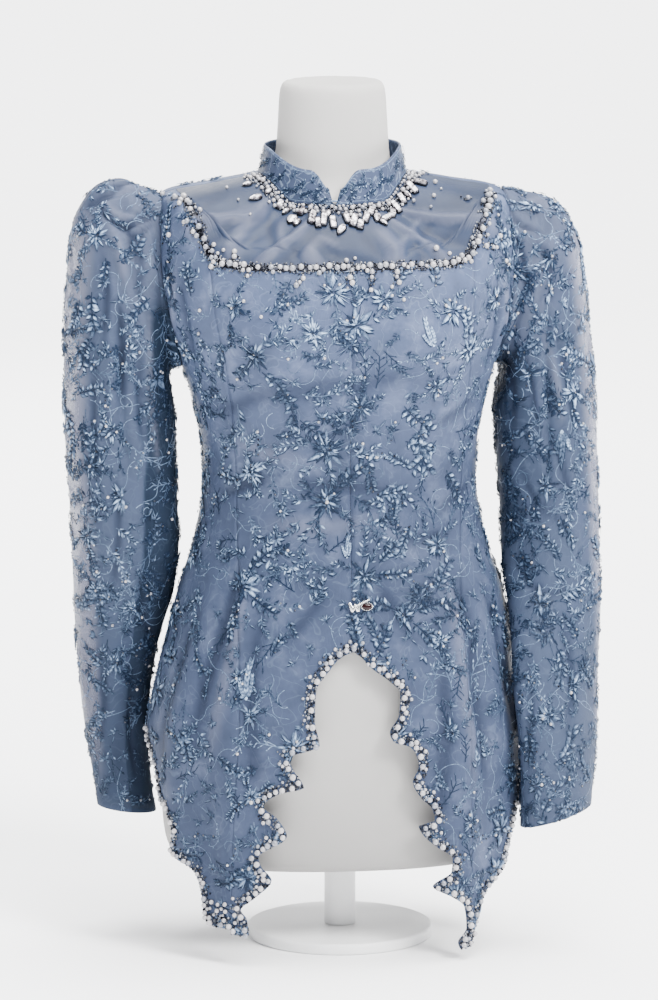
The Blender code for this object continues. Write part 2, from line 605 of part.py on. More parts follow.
# ---------------------------------------------------------------- pieces of the body
def front_pieces(side, collection):
    """Centre front and side front of one side; the piece on the wearer's left has side +1."""
    word = "left" if side > 0 else "right"
    arch_table = ARCH_EDGE_LEFT if side > 0 else ARCH_EDGE_RIGHT
    tail_table = TAIL_EDGE_LEFT if side > 0 else TAIL_EDGE_RIGHT
    arch = table_reader(arch_table)
    tail = table_reader(tail_table)
    arch_levels = [row[0] for row in arch_table]
    tail_levels = [row[0] for row in tail_table]
    body_levels = [level for level in LOWER_LEVELS if level > SIDE_HEM + 0.001] + armhole_levels()

    def inner_edge(level):
        if level < ARCH_TOP:
            x = max(arch(level), SEAM_GAP / 2.0)
            return angle_at(level, side * x)
        middle = centre_front(level)
        return middle + side * turn_of(level, middle, SEAM_GAP / 2.0)

    def outer_edge(level):
        if level < SIDE_HEM:
            return angle_at(level, side * tail(level))
        reach = armhole_reach(level, ARMHOLE_FRONT)
        back_off = turn_of(level, side * (math.pi / 2.0 - reach), SEAM_GAP / 2.0)
        return side * (math.pi / 2.0 - reach - back_off)

    def centre_bead(level):
        on_arch = level < ARCH_TOP - 0.002
        beaded_row = level < arch_levels[0] + 0.0075
        return (on_arch, False, beaded_row) if side > 0 else (False, on_arch, beaded_row)

    def side_bead(level):
        on_tail = level < SIDE_HEM + 0.001
        beaded_row = level < tail_levels[0] + 0.0075
        return (False, on_tail, beaded_row) if side > 0 else (on_tail, False, beaded_row)

    centre_levels = merged_levels(arch_levels, body_levels)
    centre_levels = [level for level in centre_levels if level < YOKE_LEVEL - 0.001]
    centre_levels.append(YOKE_LEVEL - climb_of(YOKE_LEVEL, 0.0, SEAM_GAP / 2.0))

    def seam_inside(level):
        return princess_edge(side, level, -side)

    def seam_outside(level):
        return princess_edge(side, level, side)

    edges = (inner_edge, seam_inside) if side > 0 else (seam_inside, inner_edge)
    cloth_panel("front_center_" + word, centre_levels, edges[0], edges[1], CENTRE_COLUMNS,
                collection, bead=centre_bead)

    side_levels = merged_levels(tail_levels, body_levels, YOKE_SIDE_LEVELS)
    edges = (seam_outside, outer_edge) if side > 0 else (outer_edge, seam_outside)
    cloth_panel("front_side_" + word, side_levels, edges[0], edges[1], SIDE_COLUMNS,
                collection, bead=side_bead)


def yoke_piece(collection):
    first = YOKE_LEVEL + climb_of(YOKE_LEVEL, 0.0, SEAM_GAP / 2.0)
    last = NECK_LEVEL - climb_of(NECK_LEVEL, 0.0, COLLAR_CLOTH / 2.0 + SEAM_GAP + NECK_SEAM_GAP)
    inner = [lv for lv in armhole_levels() if lv > YOKE_LEVEL + 0.001]
    levels = [first] + inner + list(YOKE_SIDE_LEVELS)
    levels += [level for level in TOP_LEVELS if level < last - 0.002] + [last]

    def right_edge(level):
        return princess_edge(-1, level, 1)

    def left_edge(level):
        return princess_edge(1, level, -1)

    cloth_panel("yoke_front", levels, right_edge, left_edge, 2 * CENTRE_COLUMNS, collection,
                mat_name="yoke_cloth", split=centre_front)


def back_piece(side, collection):
    word = "left" if side > 0 else "right"
    last = NECK_LEVEL - climb_of(NECK_LEVEL, math.pi, COLLAR_CLOTH / 2.0 + SEAM_GAP + NECK_SEAM_GAP)
    levels = merged_levels(LOWER_LEVELS, armhole_levels(), TOP_LEVELS[:-1], [last])

    def side_seam(level):
        reach = armhole_reach(level, ARMHOLE_BACK)
        back_off = turn_of(level, math.pi / 2.0 + reach, SEAM_GAP / 2.0)
        return side * (math.pi / 2.0 + reach + back_off)

    def centre_seam(level):
        return side * (math.pi - turn_of(level, math.pi, SEAM_GAP / 2.0))

    def scallop(level, angle):
        """Rows near the hem follow its scallops, which run out above it."""
        fade = smoothstep(0.28, SIDE_HEM, level)
        phase = (abs(angle) - math.pi / 2.0) / (math.pi / 2.0) * BACK_SCALLOPS
        return level - BACK_SCALLOP_DEPTH * abs(math.sin(math.pi * phase)) * fade

    def bead(level):
        return False, False, level < SIDE_HEM + BEAD_BAND * 1.1

    edges = (side_seam, centre_seam) if side > 0 else (centre_seam, side_seam)
    cloth_panel("back_" + word, levels, edges[0], edges[1], 2 * BACK_SCALLOPS, collection,
                bead=bead, lift=scallop)


# ---------------------------------------------------------------- sleeves
def sleeve_ring(row, side, folds, index):
    """One oval of the sleeve, with its gathers and folds."""
    values = dict(zip(SLEEVE_COLUMNS, row))
    outer = Vector((side * values["outer_x"], values["outer_y"], values["outer_z"]))
    inner = Vector((side * values["inner_x"], values["inner_y"], values["inner_z"]))
    middle = (outer + inner) / 2.0
    long_half = (outer - inner) / 2.0
    forward = Vector((0.0, -1.0, 0.0))
    forward -= long_half.normalized() * forward.dot(long_half.normalized())
    short_half = forward.normalized() * values["half_depth"]
    points = []
    for k in range(SLEEVE_COLUMNS_ROUND):
        turn = 2.0 * math.pi * k / SLEEVE_COLUMNS_ROUND
        radial = long_half * math.cos(turn) + short_half * math.sin(turn)
        from_top = abs((turn + math.pi) % (2.0 * math.pi) - math.pi)
        gather = values["gather"] * (1.0 if k % 2 else -1.0)
        gather *= 1.0 - smoothstep(0.6 * GATHERED_ARC, GATHERED_ARC, from_top)
        dent = 0.0
        for ring, angle, depth, rings, spread in folds:
            u = (index - ring) / rings
            v = ((math.degrees(turn) - angle + 180.0) % 360.0 - 180.0) / spread
            dent += depth * math.exp(-u * u - v * v)
        points.append(middle + radial + radial.normalized() * (gather - dent))
    return points


def sleeve_seam(side):
    """First two rings: the armhole's own corners and the middles between them, drawn in a
    little, and the same points standing off the body."""
    corners = armhole_corners(side)
    centre = sum((corner for corner, _ in corners), Vector()) / len(corners)
    inset = CLOTH / 2.0 + SEAM_GAP * 2.0
    low = []
    high = []
    for k, (corner, normal) in enumerate(corners):
        next_corner, next_normal = corners[(k + 1) % len(corners)]
        for share in (0.0, 0.5):
            point = corner.lerp(next_corner, share)
            point += (centre - point).normalized() * inset
            low.append(point)
            high.append(point + normal.lerp(next_normal, share).normalized() * SLEEVE_RISE)
    return [low, high]


def sleeve_piece(side, collection):
    word = "left" if side > 0 else "right"
    table = SLEEVE_LEFT if side > 0 else SLEEVE_RIGHT
    rings = sleeve_seam(side)
    for index, row in enumerate(table):
        rings.append(sleeve_ring(row, side, SLEEVE_FOLDS[word], index + 1))
    if side < 0:
        rings = [[ring[0]] + ring[:0:-1] for ring in rings]
    obj = new_object("sleeve_" + word, grid_mesh("sleeve_" + word, rings, closed=True),
                     "sleeve_cloth", collection)
    wall = give_wall(obj, CLOTH)
    wall.offset = 0.0
    return obj


# ---------------------------------------------------------------- collar
def collar_point(side, across, up):
    """Point of one collar half: across runs from the notch to the centre back, up from 0 to 1."""
    neck = TORSO.at(NECK_LEVEL)
    radius = neck["half_width"]
    notch = NOTCH_HALF_BASE + (NOTCH_HALF_TOP - NOTCH_HALF_BASE) * up
    first = NOTCH_ANGLE + side * notch / radius
    last = side * (math.pi - SEAM_GAP / radius)
    angle = first + (last - first) * across
    base = ring_point(neck, angle)
    from_notch = abs(angle - first)
    corner = 1.0 - smoothstep(0.0, COLLAR_CORNER, from_notch)
    frontness = 1.0 - smoothstep(*COLLAR_FRONT_ARC, abs(angle))
    top = COLLAR_TOP_SIDE + (COLLAR_TOP_FRONT - COLLAR_TOP_SIDE) * frontness
    height = (top - base.z) * (1.0 - COLLAR_CORNER_DROP * corner ** 2)
    inward = Vector((neck["x_mid"] - base.x, neck["y_side"] - base.y, 0.0)).normalized()
    return base + inward * (COLLAR_LEAN * up) + Vector((0.0, 0.0, height * up + COLLAR_SEAT))


def collar_piece(side, collection):
    word = "left" if side > 0 else "right"
    rows = []
    for r in range(COLLAR_ROWS + 1):
        row = []
        for c in range(COLLAR_COLUMNS + 1):
            across = (c / COLLAR_COLUMNS) ** COLLAR_CROWDING
            row.append(collar_point(side, across, r / COLLAR_ROWS))
        rows.append(row if side > 0 else row[::-1])
    obj = new_object("collar_" + word, grid_mesh("collar_" + word, rows), "cloth", collection)
    wall = give_wall(obj, COLLAR_CLOTH)
    wall.offset = 0.0


# ---------------------------------------------------------------- trims
def on_yoke_line(share):
    """Level and angle along the yoke seam, from the wearer's right shoulder to the left one."""
    side = -1 if share < 0.0 else 1
    reach = abs(share)
    corner = angle_at(YOKE_LEVEL, princess_x(side, YOKE_LEVEL))
    if reach <= 1.0:
        return YOKE_LEVEL, corner * reach
    level = YOKE_LEVEL + (SHOULDER_END_OF_YOKE - 0.0035 - YOKE_LEVEL) * (reach - 1.0)
    return level, princess_angle(side, level)


def cloth_trees(collection):
    """Search trees of the pieces that the trims lie on."""
    graph = bpy.context.evaluated_depsgraph_get()
    names = [obj.name for obj in collection.objects
             if obj.name.startswith(("front_", "yoke_front", "back_"))]
    return [BVHTree.FromObject(collection.objects[name], graph) for name in names]


def room_under(trees, point, normal, over_a_seam):
    """How far this point stands over the cloth below it; over_a_seam where there is none."""
    above = point + normal * TRIM_REACH
    hits = [tree.ray_cast(above, -normal, 2.0 * TRIM_REACH)[3] for tree in trees]
    hits = [hit for hit in hits if hit is not None]
    return min(hits) - TRIM_REACH if hits else over_a_seam


def laid_rows(places, trees):
    """Points over the cloth for rows of (level, angle), raised until no face dips into it."""
    normals = [[torso_normal(*place) for place in row] for row in places]
    rows = []
    for row, facing in zip(places, normals):
        points = [torso(*place) for place in row]
        rooms = [room_under(trees, point, normal, -CLOTH / 2.0)
                 for point, normal in zip(points, facing)]
        rows.append([point + normal * (TRIM_CLEARANCE - room)
                     for point, normal, room in zip(points, facing, rooms)])
    shares = [k / (TRIM_SAMPLES - 1) for k in range(TRIM_SAMPLES)]
    for _ in range(TRIM_ROUNDS):
        for r in range(len(rows) - 1):
            for c in range(len(rows[r]) - 1):
                corners = ((r, c), (r, c + 1), (r + 1, c), (r + 1, c + 1))
                normal = sum((normals[i][j] for i, j in corners), Vector()).normalized()
                short = 0.0
                for u in shares:
                    low = rows[r][c].lerp(rows[r][c + 1], u)
                    high = rows[r + 1][c].lerp(rows[r + 1][c + 1], u)
                    for v in shares:
                        room = room_under(trees, low.lerp(high, v), normal, SEAM_GAP)
                        short = max(short, SEAM_GAP - room)
                for i, j in corners:
                    rows[i][j] = rows[i][j] + normal * short
    return rows


def nearest_on_torso(point, start):
    """Level and angle of the torso point nearest to a point, from a start close by."""
    level, angle = start
    for _ in range(NEAREST_STEPS):
        low = level - NEAREST_LEVEL
        high = min(level + NEAREST_LEVEL, NECK_LEVEL)
        around = (torso(level, angle + NEAREST_TURN)
                  - torso(level, angle - NEAREST_TURN)) / (2.0 * NEAREST_TURN)
        up = (torso(high, angle) - torso(low, angle)) / (high - low)
        away = point - torso(level, angle)
        a, b, c = around.dot(around), around.dot(up), up.dot(up)
        p, q = away.dot(around), away.dot(up)
        scale = a * c - b * b
        turn = (p * c - q * b) / scale
        climb = (q * a - p * b) / scale
        angle += min(max(turn, -NEAREST_MOST_TURN), NEAREST_MOST_TURN)
        level = min(level + min(max(climb, -NEAREST_MOST_LEVEL), NEAREST_MOST_LEVEL), NECK_LEVEL)
    return level, angle


def yoke_trim(collection, trees):
    """Beaded band over the yoke seam, thick along its middle; its corners are rounded."""
    bottom = [-1.0 + 2.0 * k / YOKE_BAND_STEPS_BOTTOM for k in range(YOKE_BAND_STEPS_BOTTOM + 1)]
    sides = [1.0 + (k + 1) / YOKE_BAND_STEPS_SIDE for k in range(YOKE_BAND_STEPS_SIDE)]
    path = [on_yoke_line(share)
            for share in [-share for share in reversed(sides)] + bottom + sides]
    centres = [torso(*place) for place in path]
    rounded = [(a + b * 2.0 + c) / 4.0 for a, b, c in zip(centres, centres[1:], centres[2:])]
    centres[1:-1] = rounded
    lines = []
    for across in (-0.5, 0.0, 0.5):
        line = []
        for i, centre in enumerate(centres):
            along = centres[min(i + 1, len(centres) - 1)] - centres[max(i - 1, 0)]
            sideways = torso_normal(*path[i]).cross(along).normalized()
            line.append(nearest_on_torso(centre + sideways * (YOKE_BAND * across), path[i]))
        lines.append(line)
    edge = [YOKE_BAND_EDGE / YOKE_BAND_THICK] * len(path)
    obj = new_object("yoke_trim", grid_mesh("yoke_trim", laid_rows(lines, trees)), "beads",
                     collection)
    give_wall(obj, YOKE_BAND_THICK, edge + [1.0] * len(path) + edge)


def neck_trim(collection, trees):
    """Pearl band round the front of the neck seam, with crystal drops across the front."""
    angles = [NECK_HALF_ARC * (2.0 * k / NECK_STEPS - 1.0) for k in range(NECK_STEPS + 1)]
    reaches = (NECK_BAND_FROM_SEAM + NECK_BAND + DROP_LENGTH, NECK_BAND_FROM_SEAM + NECK_BAND,
               NECK_BAND_FROM_SEAM)
    places = [[(NECK_LEVEL - climb_of(NECK_LEVEL, angle, reach), angle) for angle in angles]
              for reach in reaches]
    bm = bmesh.new()
    verts = [[bm.verts.new(point) for point in row] for row in laid_rows(places, trees)]
    for k in range(NECK_STEPS):
        bm.faces.new((verts[1][k], verts[1][k + 1], verts[2][k + 1], verts[2][k]))
        middle = (angles[k] + angles[k + 1]) / 2.0
        if k % 2 and abs(middle) < DROP_ARC:
            bm.faces.new((verts[0][k], verts[0][k + 1], verts[1][k + 1], verts[1][k]))
    loose = [vert for vert in bm.verts if not vert.link_faces]
    bmesh.ops.delete(bm, geom=loose, context="VERTS")
    mesh = bpy.data.meshes.new("neck_trim")
    bm.to_mesh(mesh)
    bm.free()
    obj = new_object("neck_trim", mesh, "beads", collection)
    give_wall(obj, NECK_THICK)


def clasp(collection):
    """W-shaped bezel and the oval stone beside it, laid on the front at the waist."""
    angle = angle_at(CLASP_HEIGHT, CLASP_X)
    normal = torso_normal(CLASP_HEIGHT, angle)
    seat = torso(CLASP_HEIGHT, angle) + normal * (CLOTH / 2.0 + CLASP_CLEARANCE)
    across = Vector((0.0, 0.0, 1.0)).cross(normal).normalized()
    up = normal.cross(across)

    bm = bmesh.new()
    face = bm.faces.new([bm.verts.new(seat + across * (x + BEZEL_SHIFT) + up * z)
                         for x, z in BEZEL_OUTLINE])
    raised = bmesh.ops.extrude_face_region(bm, geom=[face])
    moved = [item for item in raised["geom"] if isinstance(item, bmesh.types.BMVert)]
    bmesh.ops.translate(bm, verts=moved, vec=normal * BEZEL_THICK)
    bmesh.ops.recalc_face_normals(bm, faces=bm.faces)
    mesh = bpy.data.meshes.new("clasp_bezel")
    bm.to_mesh(mesh)
    bm.free()
    new_object("clasp_bezel", mesh, "silver", collection)

    bm = bmesh.new()
    bmesh.ops.create_uvsphere(bm, u_segments=12, v_segments=8, radius=0.5)
    centre = seat + across * STONE_OFFSET + normal * (STONE_SIZE[2] / 2.0 - STONE_SINK)
    for vert in bm.verts:
        x, y, z = vert.co
        vert.co = (centre + across * (x * STONE_SIZE[0]) + up * (y * STONE_SIZE[1])
                   + normal * (z * STONE_SIZE[2]))
    bmesh.ops.recalc_face_normals(bm, faces=bm.faces)
    mesh = bpy.data.meshes.new("clasp_stone")
    bm.to_mesh(mesh)
    bm.free()
    new_object("clasp_stone", mesh, "red_stone", collection)


# ---------------------------------------------------------------- dress form and stand
def dress_form(collection):
    rows = []
    turns = [2.0 * math.pi * k / FORM_COLUMNS_ROUND for k in range(FORM_COLUMNS_ROUND)]
    for ring in FORM_LOWER:
        rows.append([ring_point(dict(zip(RING_COLUMNS, ring)), turn) for turn in turns])
    ease = table_reader(FORM_EASE)
    for level in armhole_levels()[::2] + [YOKE_SIDE_LEVELS[1]] + list(TOP_LEVELS):
        rows.append([skin_point(level, turn, -ease(level)) for turn in turns])
    for ring in FORM_NECK:
        rows.append([ring_point(dict(zip(RING_COLUMNS, ring)), turn) for turn in turns])
    mesh = grid_mesh("dress_form", rows, closed=True)
    bm = bmesh.new()
    bm.from_mesh(mesh)
    bmesh.ops.holes_fill(bm, edges=[edge for edge in bm.edges if edge.is_boundary], sides=0)
    bmesh.ops.recalc_face_normals(bm, faces=bm.faces)
    bm.to_mesh(mesh)
    bm.free()
    new_object("dress_form", mesh, "form", collection)


def stand(collection):
    """Plain foot and post that carry the form with the tails clear of the floor."""
    bpy.ops.mesh.primitive_cylinder_add(vertices=40, radius=STAND_BASE_RADIUS,
                                        depth=STAND_BASE_HEIGHT,
                                        location=(0.0, 0.0, STAND_BASE_HEIGHT / 2.0))
    base = bpy.context.object
    base.name = "stand_base"
    edge = base.modifiers.new("edge", "BEVEL")
    edge.width = STAND_BEVEL
    edge.segments = 2
    edge.limit_method = "ANGLE"
    post_low = STAND_BASE_HEIGHT + SEAM_GAP
    post_high = FORM_LOWER[0][0] - SEAM_GAP
    bpy.ops.mesh.primitive_cylinder_add(vertices=24, radius=STAND_POLE_RADIUS,
                                        depth=post_high - post_low,
                                        location=(0.0, 0.0, (post_high + post_low) / 2.0))
    post = bpy.context.object
    post.name = "stand_pole"
    for obj in (base, post):
        obj.data.materials.append(material("stand"))
        obj.data.shade_smooth()
        for other in list(obj.users_collection):
            other.objects.unlink(obj)
        collection.objects.link(obj)


def main():
    for obj in list(bpy.data.objects):
        bpy.data.objects.remove(obj, do_unlink=True)
    collection = bpy.data.collections.new("kebaya_blouse")
    bpy.context.scene.collection.children.link(collection)
    dress_form(collection)
    stand(collection)
    yoke_piece(collection)
    for side in (-1, 1):
        front_pieces(side, collection)
        back_piece(side, collection)
        sleeve_piece(side, collection)
        collar_piece(side, collection)
    trees = cloth_trees(collection)
    yoke_trim(collection, trees)
    neck_trim(collection, trees)
    clasp(collection)


main()
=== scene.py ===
"""Looks of the kebaya blouse: finer cloth, embroidery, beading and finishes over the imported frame.

Metres, +Z up, front facing -Y, the wearer's left at +X. The surface tables and functions are those
of the part's own source, so that every finer piece lies where its solid does.
"""

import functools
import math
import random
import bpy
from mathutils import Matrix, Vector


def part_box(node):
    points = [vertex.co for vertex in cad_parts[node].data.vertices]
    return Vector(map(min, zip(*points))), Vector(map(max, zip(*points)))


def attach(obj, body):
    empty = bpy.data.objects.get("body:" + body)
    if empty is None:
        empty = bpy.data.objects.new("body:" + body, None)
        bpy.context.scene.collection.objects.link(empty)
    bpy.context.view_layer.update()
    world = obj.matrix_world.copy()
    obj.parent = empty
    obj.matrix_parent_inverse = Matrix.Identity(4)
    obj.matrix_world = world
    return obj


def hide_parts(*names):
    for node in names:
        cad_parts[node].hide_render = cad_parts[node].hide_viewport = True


bl_info = {
    "name": "Kebaya blouse",
    "version": (1, 0, 0),
    "blender": (4, 5, 0),
    "location": "3D View > Sidebar > Kebaya",
    "description": "Cloth, embroidery and beading of a kebaya blouse on a dress form",
    "category": "Object",
}

import bpy
import numpy as np
from mathutils import Vector
from mathutils.bvhtree import BVHTree

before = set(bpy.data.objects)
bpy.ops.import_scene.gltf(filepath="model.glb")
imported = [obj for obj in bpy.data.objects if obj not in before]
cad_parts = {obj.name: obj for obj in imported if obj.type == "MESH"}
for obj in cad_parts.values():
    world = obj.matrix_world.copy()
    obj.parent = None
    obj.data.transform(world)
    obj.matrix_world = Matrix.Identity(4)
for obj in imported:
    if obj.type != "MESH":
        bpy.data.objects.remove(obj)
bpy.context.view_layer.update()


def sized(rows, *units):
    """Rows of whole numbers as sizes: each column divided by its unit, if it has one."""
    return [[value / unit if unit else value for value, unit in zip(row, units)] for row in rows]


# ---------------------------------------------------------------- sizes
MM, TENTHS = 1000, 10000     # parts of a metre that the tables' whole numbers stand for
WORDS = {-1: "right", 1: "left"}    # a side is -1 at the wearer's right and 1 at the left

CLOTH = 0.0008               # wall of the fine cloth
SHEER = 0.0005               # wall of the sleeves' organza
COLLAR_CLOTH = 0.0016
SEAM_GAP = 0.00014
ROW = 0.004                  # height of a row of faces in the cloth
YOKE_ROW = 0.0026            # in the yoke
EDGE_ROW = 0.0022            # and below the hip, where the edges are cut in lobes
FLAT = 0.16                  # radius that turns an angle into a width in the cloth's UV map

ARMHOLE_BOTTOM = 0.595
ARMHOLE_TOP = 0.75
ARMHOLE_FRONT = math.radians(17)
ARMHOLE_BACK = math.radians(24)
SIDE_HEM = 0.217
ARCH_TOP = 0.3225
NECK_LEVEL = 0.85
SHOULDER_END_OF_YOKE = 0.77

# Rings of the torso, each with its level; where no z is given, it is the level.
RING_COLUMNS = ("x_mid", "half_width", "y_side", "y_front", "y_back", "squareness", "z_side",
                "z_front", "z_back")
RINGS = sized((
    (0, -30, 1860, 0, -1380, 1250, 23), (1200, -30, 1900, 0, -1390, 1270, 23),
    (2170, -50, 1925, 0, -1370, 1270, 23), (2800, -40, 1825, 0, -1320, 1260, 23),
    (3230, -10, 1750, 0, -1250, 1210, 23), (3660, 0, 1645, 20, -1160, 1130, 23),
    (4150, 0, 1490, 40, -1050, 1000, 23), (4810, 0, 1385, 60, -970, 900, 23),
    (5150, 0, 1400, 80, -980, 910, 23), (5600, 0, 1490, 120, -1060, 980, 23),
    (5950, -10, 1590, 160, -1120, 1040, 23), (6450, -20, 1760, 220, -1170, 1120, 24),
    (7000, -40, 1850, 280, -1100, 1190, 25),
    (7500, -50, 1740, 320, -980, 1180, 25, 7670, 7190, 7360),
    (8000, -40, 1250, 350, -710, 1100, 23, 7780, 7430, 7680),
    (8500, -40, 745, 370, -360, 1000, 21, 7865, 7635, 7880),
), *[TENTHS] * 6, 10, *[TENTHS] * 3)
SHOULDER_RISE_FROM = 0.6
BUST_POINT = 0.078
BUST_HEIGHT = 0.645
BUST_DEPTH = 0.018
BUST_SPREAD = (0.045, 0.05)

# Soft flares of the peplum: angle round from the front, height at the hem, width in degrees.
FLARES = sized((
    (-62, 4, 9), (-34, 7, 8), (33, 7, 8), (122, 4, 10), (152, 6, 10), (-122, 4, 10), (-152, 6, 10),
), 1, MM, 1)
FLARE_TOP = 0.43

# Small creases: level and angle where one starts and ends, depth and half width.
CREASES = sized((
    (738, -56, 815, -44, -50, 75), (736, -46, 800, -38, 16, 60), (733, -34, 842, -50, -34, 80),
    (731, -24, 822, -16, -48, 65), (731, -17, 800, -10, 16, 60), (731, -5, 790, -12, -28, 85),
    (731, 4, 775, -3, 14, 60), (731, 10, 800, 17, -40, 75), (731, 20, 790, 25, 14, 60),
    (733, 31, 825, 24, -44, 70), (735, 43, 800, 34, 15, 60), (738, 55, 838, 38, -46, 70),
    (610, -66, 690, -58, 30, 70), (600, 64, 680, 57, 30, 70), (640, -74, 700, -62, -24, 60),
    (630, 72, 690, 60, -24, 60), (585, -34, 598, 24, 24, 120), (560, -60, 580, -30, 20, 80),
    (545, 34, 575, 62, 22, 80), (530, -48, 515, -18, -18, 80), (470, -62, 500, -30, 24, 70),
    (492, -20, 474, 26, 20, 80), (455, 38, 480, 66, 24, 70), (445, -30, 452, 8, -18, 90),
    (425, 14, 440, 44, 18, 80), (240, -50, 400, -44, 36, 80), (230, -41, 390, -38, -30, 70),
    (200, -27, 360, -30, 28, 70), (200, -70, 360, -62, 30, 80), (190, 44, 380, 41, 36, 75),
    (200, 37, 390, 35, -30, 70), (150, 26, 330, 28, 26, 70), (230, 66, 380, 58, 30, 80),
    (330, -18, 390, -7, 20, 70), (335, 16, 400, 7, 20, 70), (470, 120, 500, 160, 22, 70),
    (485, -118, 468, -158, 22, 70), (505, 128, 522, 164, -16, 70), (512, -132, 500, -166, -16, 70),
    (240, 138, 400, 141, 30, 80), (240, -136, 390, -142, 30, 80), (225, 168, 360, 166, 24, 70),
    (235, -166, 350, -168, 22, 70), (620, 118, 700, 128, 24, 70), (620, -118, 700, -128, 24, 70),
    (700, 140, 760, 156, -16, 70), (700, -140, 756, -154, -16, 70),
), MM, 1, MM, 1, TENTHS, TENTHS)

# Princess seams: level, and distance from the centre at the wearer's right and left.
PRINCESS = sized((
    (0, 120, 118), (165, 116, 117), (270, 111, 114), (366, 112, 114), (481, 112, 118),
    (595, 122, 124), (667, 136, 126), (732, 142, 127), (745, 147, 134), (750, 149, 138),
    (760, 154, 146), (770, 163, 154),
), MM, MM, MM)

# Free edges: height, distance from the centre.
ARCH_EDGE = {side: sized(rows, TENTHS, TENTHS) for side, rows in ((-1, (
    (320, 1030), (490, 1050), (580, 1100), (720, 970), (895, 830), (1045, 930), (1130, 950),
    (1355, 680), (1540, 780), (1660, 910), (1790, 760), (1855, 510), (2050, 620), (2162, 660),
    (2286, 350), (2540, 395), (2830, 380), (3050, 237), (3180, 110), (3225, 0),
)), (1, (
    (120, 1050), (190, 1030), (325, 1120), (550, 1095), (680, 960), (790, 800), (930, 970),
    (1070, 980), (1205, 830), (1340, 700), (1430, 660), (1470, 820), (1590, 800), (1720, 680),
    (1890, 600), (2040, 660), (2150, 640), (2255, 560), (2300, 410), (2405, 365), (2575, 460),
    (2800, 475), (2920, 370), (3060, 184), (3180, 70), (3225, 0),
)))}
TAIL_EDGE = {side: sized(rows, TENTHS, TENTHS) for side, rows in ((-1, (
    (370, 1400), (430, 1480), (665, 1505), (925, 1580), (990, 1670), (1070, 1770), (1275, 1755),
    (1460, 1800), (1585, 1885), (1810, 1915), (1940, 1940), (2170, 2000),
)), (1, (
    (150, 1190), (310, 1236), (480, 1290), (675, 1400), (780, 1517), (880, 1600), (1020, 1635),
    (1200, 1680), (1380, 1727), (1495, 1775), (2170, 1850),
)))}
BACK_SCALLOPS = 4
BACK_SCALLOP_DEPTH = 0.0045
HAIR = 0.0001                # edges are followed to this little short of where they end
YOKE_SIDE_TOP = 0.7696       # where the side fronts run out at the shoulder

# Sleeve rings from the shoulder to the wrist: the outer and the inner point of an oval, half its
# depth and the height of its gathers.
SLEEVES = {side: sized(rows, *[TENTHS] * 8) for side, rows in ((-1, (
    (2020, 330, 7765, 1710, 260, 5880, 560, 26), (2210, 330, 7835, 1725, 260, 5830, 610, 32),
    (2410, 320, 7790, 1715, 260, 5760, 625, 26), (2570, 310, 7640, 1700, 250, 5680, 620, 14),
    (2690, 300, 7400, 1685, 240, 5590, 600, 6), (2740, 300, 7050, 1668, 240, 5460, 560, 0),
    (2775, 290, 6600, 1660, 240, 5280, 520, 0), (2790, 290, 6150, 1656, 240, 5080, 500, 0),
    (2790, 290, 5650, 1653, 250, 4850, 490, 0), (2780, 300, 5100, 1645, 270, 4550, 480, 0),
    (2740, 320, 4500, 1625, 320, 4120, 460, 0), (2710, 370, 3900, 1665, 460, 3620, 420, 0),
    (2680, 450, 3330, 1790, 620, 3140, 380, 0), (2630, 530, 2690, 1900, 700, 2560, 340, 0),
    (2565, 580, 2080, 1935, 700, 1990, 310, 0), (2500, 600, 1670, 1900, 670, 1590, 300, 0),
    (2445, 600, 1290, 1850, 640, 1220, 285, 0),
)), (1, (
    (1950, 330, 7640, 1690, 240, 5880, 560, 22), (2080, 330, 7610, 1700, 240, 5820, 600, 28),
    (2220, 320, 7550, 1685, 240, 5750, 610, 24), (2350, 300, 7410, 1660, 230, 5660, 600, 14),
    (2450, 280, 7190, 1630, 220, 5560, 580, 6), (2525, 260, 6890, 1592, 200, 5450, 560, 0),
    (2565, 240, 6410, 1610, 180, 5250, 530, 0), (2615, 210, 5950, 1625, 150, 5020, 510, 0),
    (2640, 160, 5450, 1640, 100, 4750, 500, 0), (2650, 100, 4850, 1655, 0, 4400, 480, 0),
    (2650, 20, 4150, 1660, -180, 3930, 440, 0), (2640, -80, 3500, 1710, -600, 3370, 310, 0),
    (2610, -140, 2880, 1720, -870, 2760, 260, 0), (2590, -180, 2350, 1775, -930, 2220, 255, 0),
    (2560, -210, 1900, 1810, -900, 1770, 260, 0), (2512, -240, 1400, 1820, -830, 1270, 260, 0),
)))}
SLEEVE_ROUND = 136           # columns of faces round a sleeve
SLEEVE_STEPS = 8             # rows of faces between two rings of the tables
SLEEVE_RISE = 0.004
GATHERED_ARC = math.radians(115)
GATHER_WAVES = 16

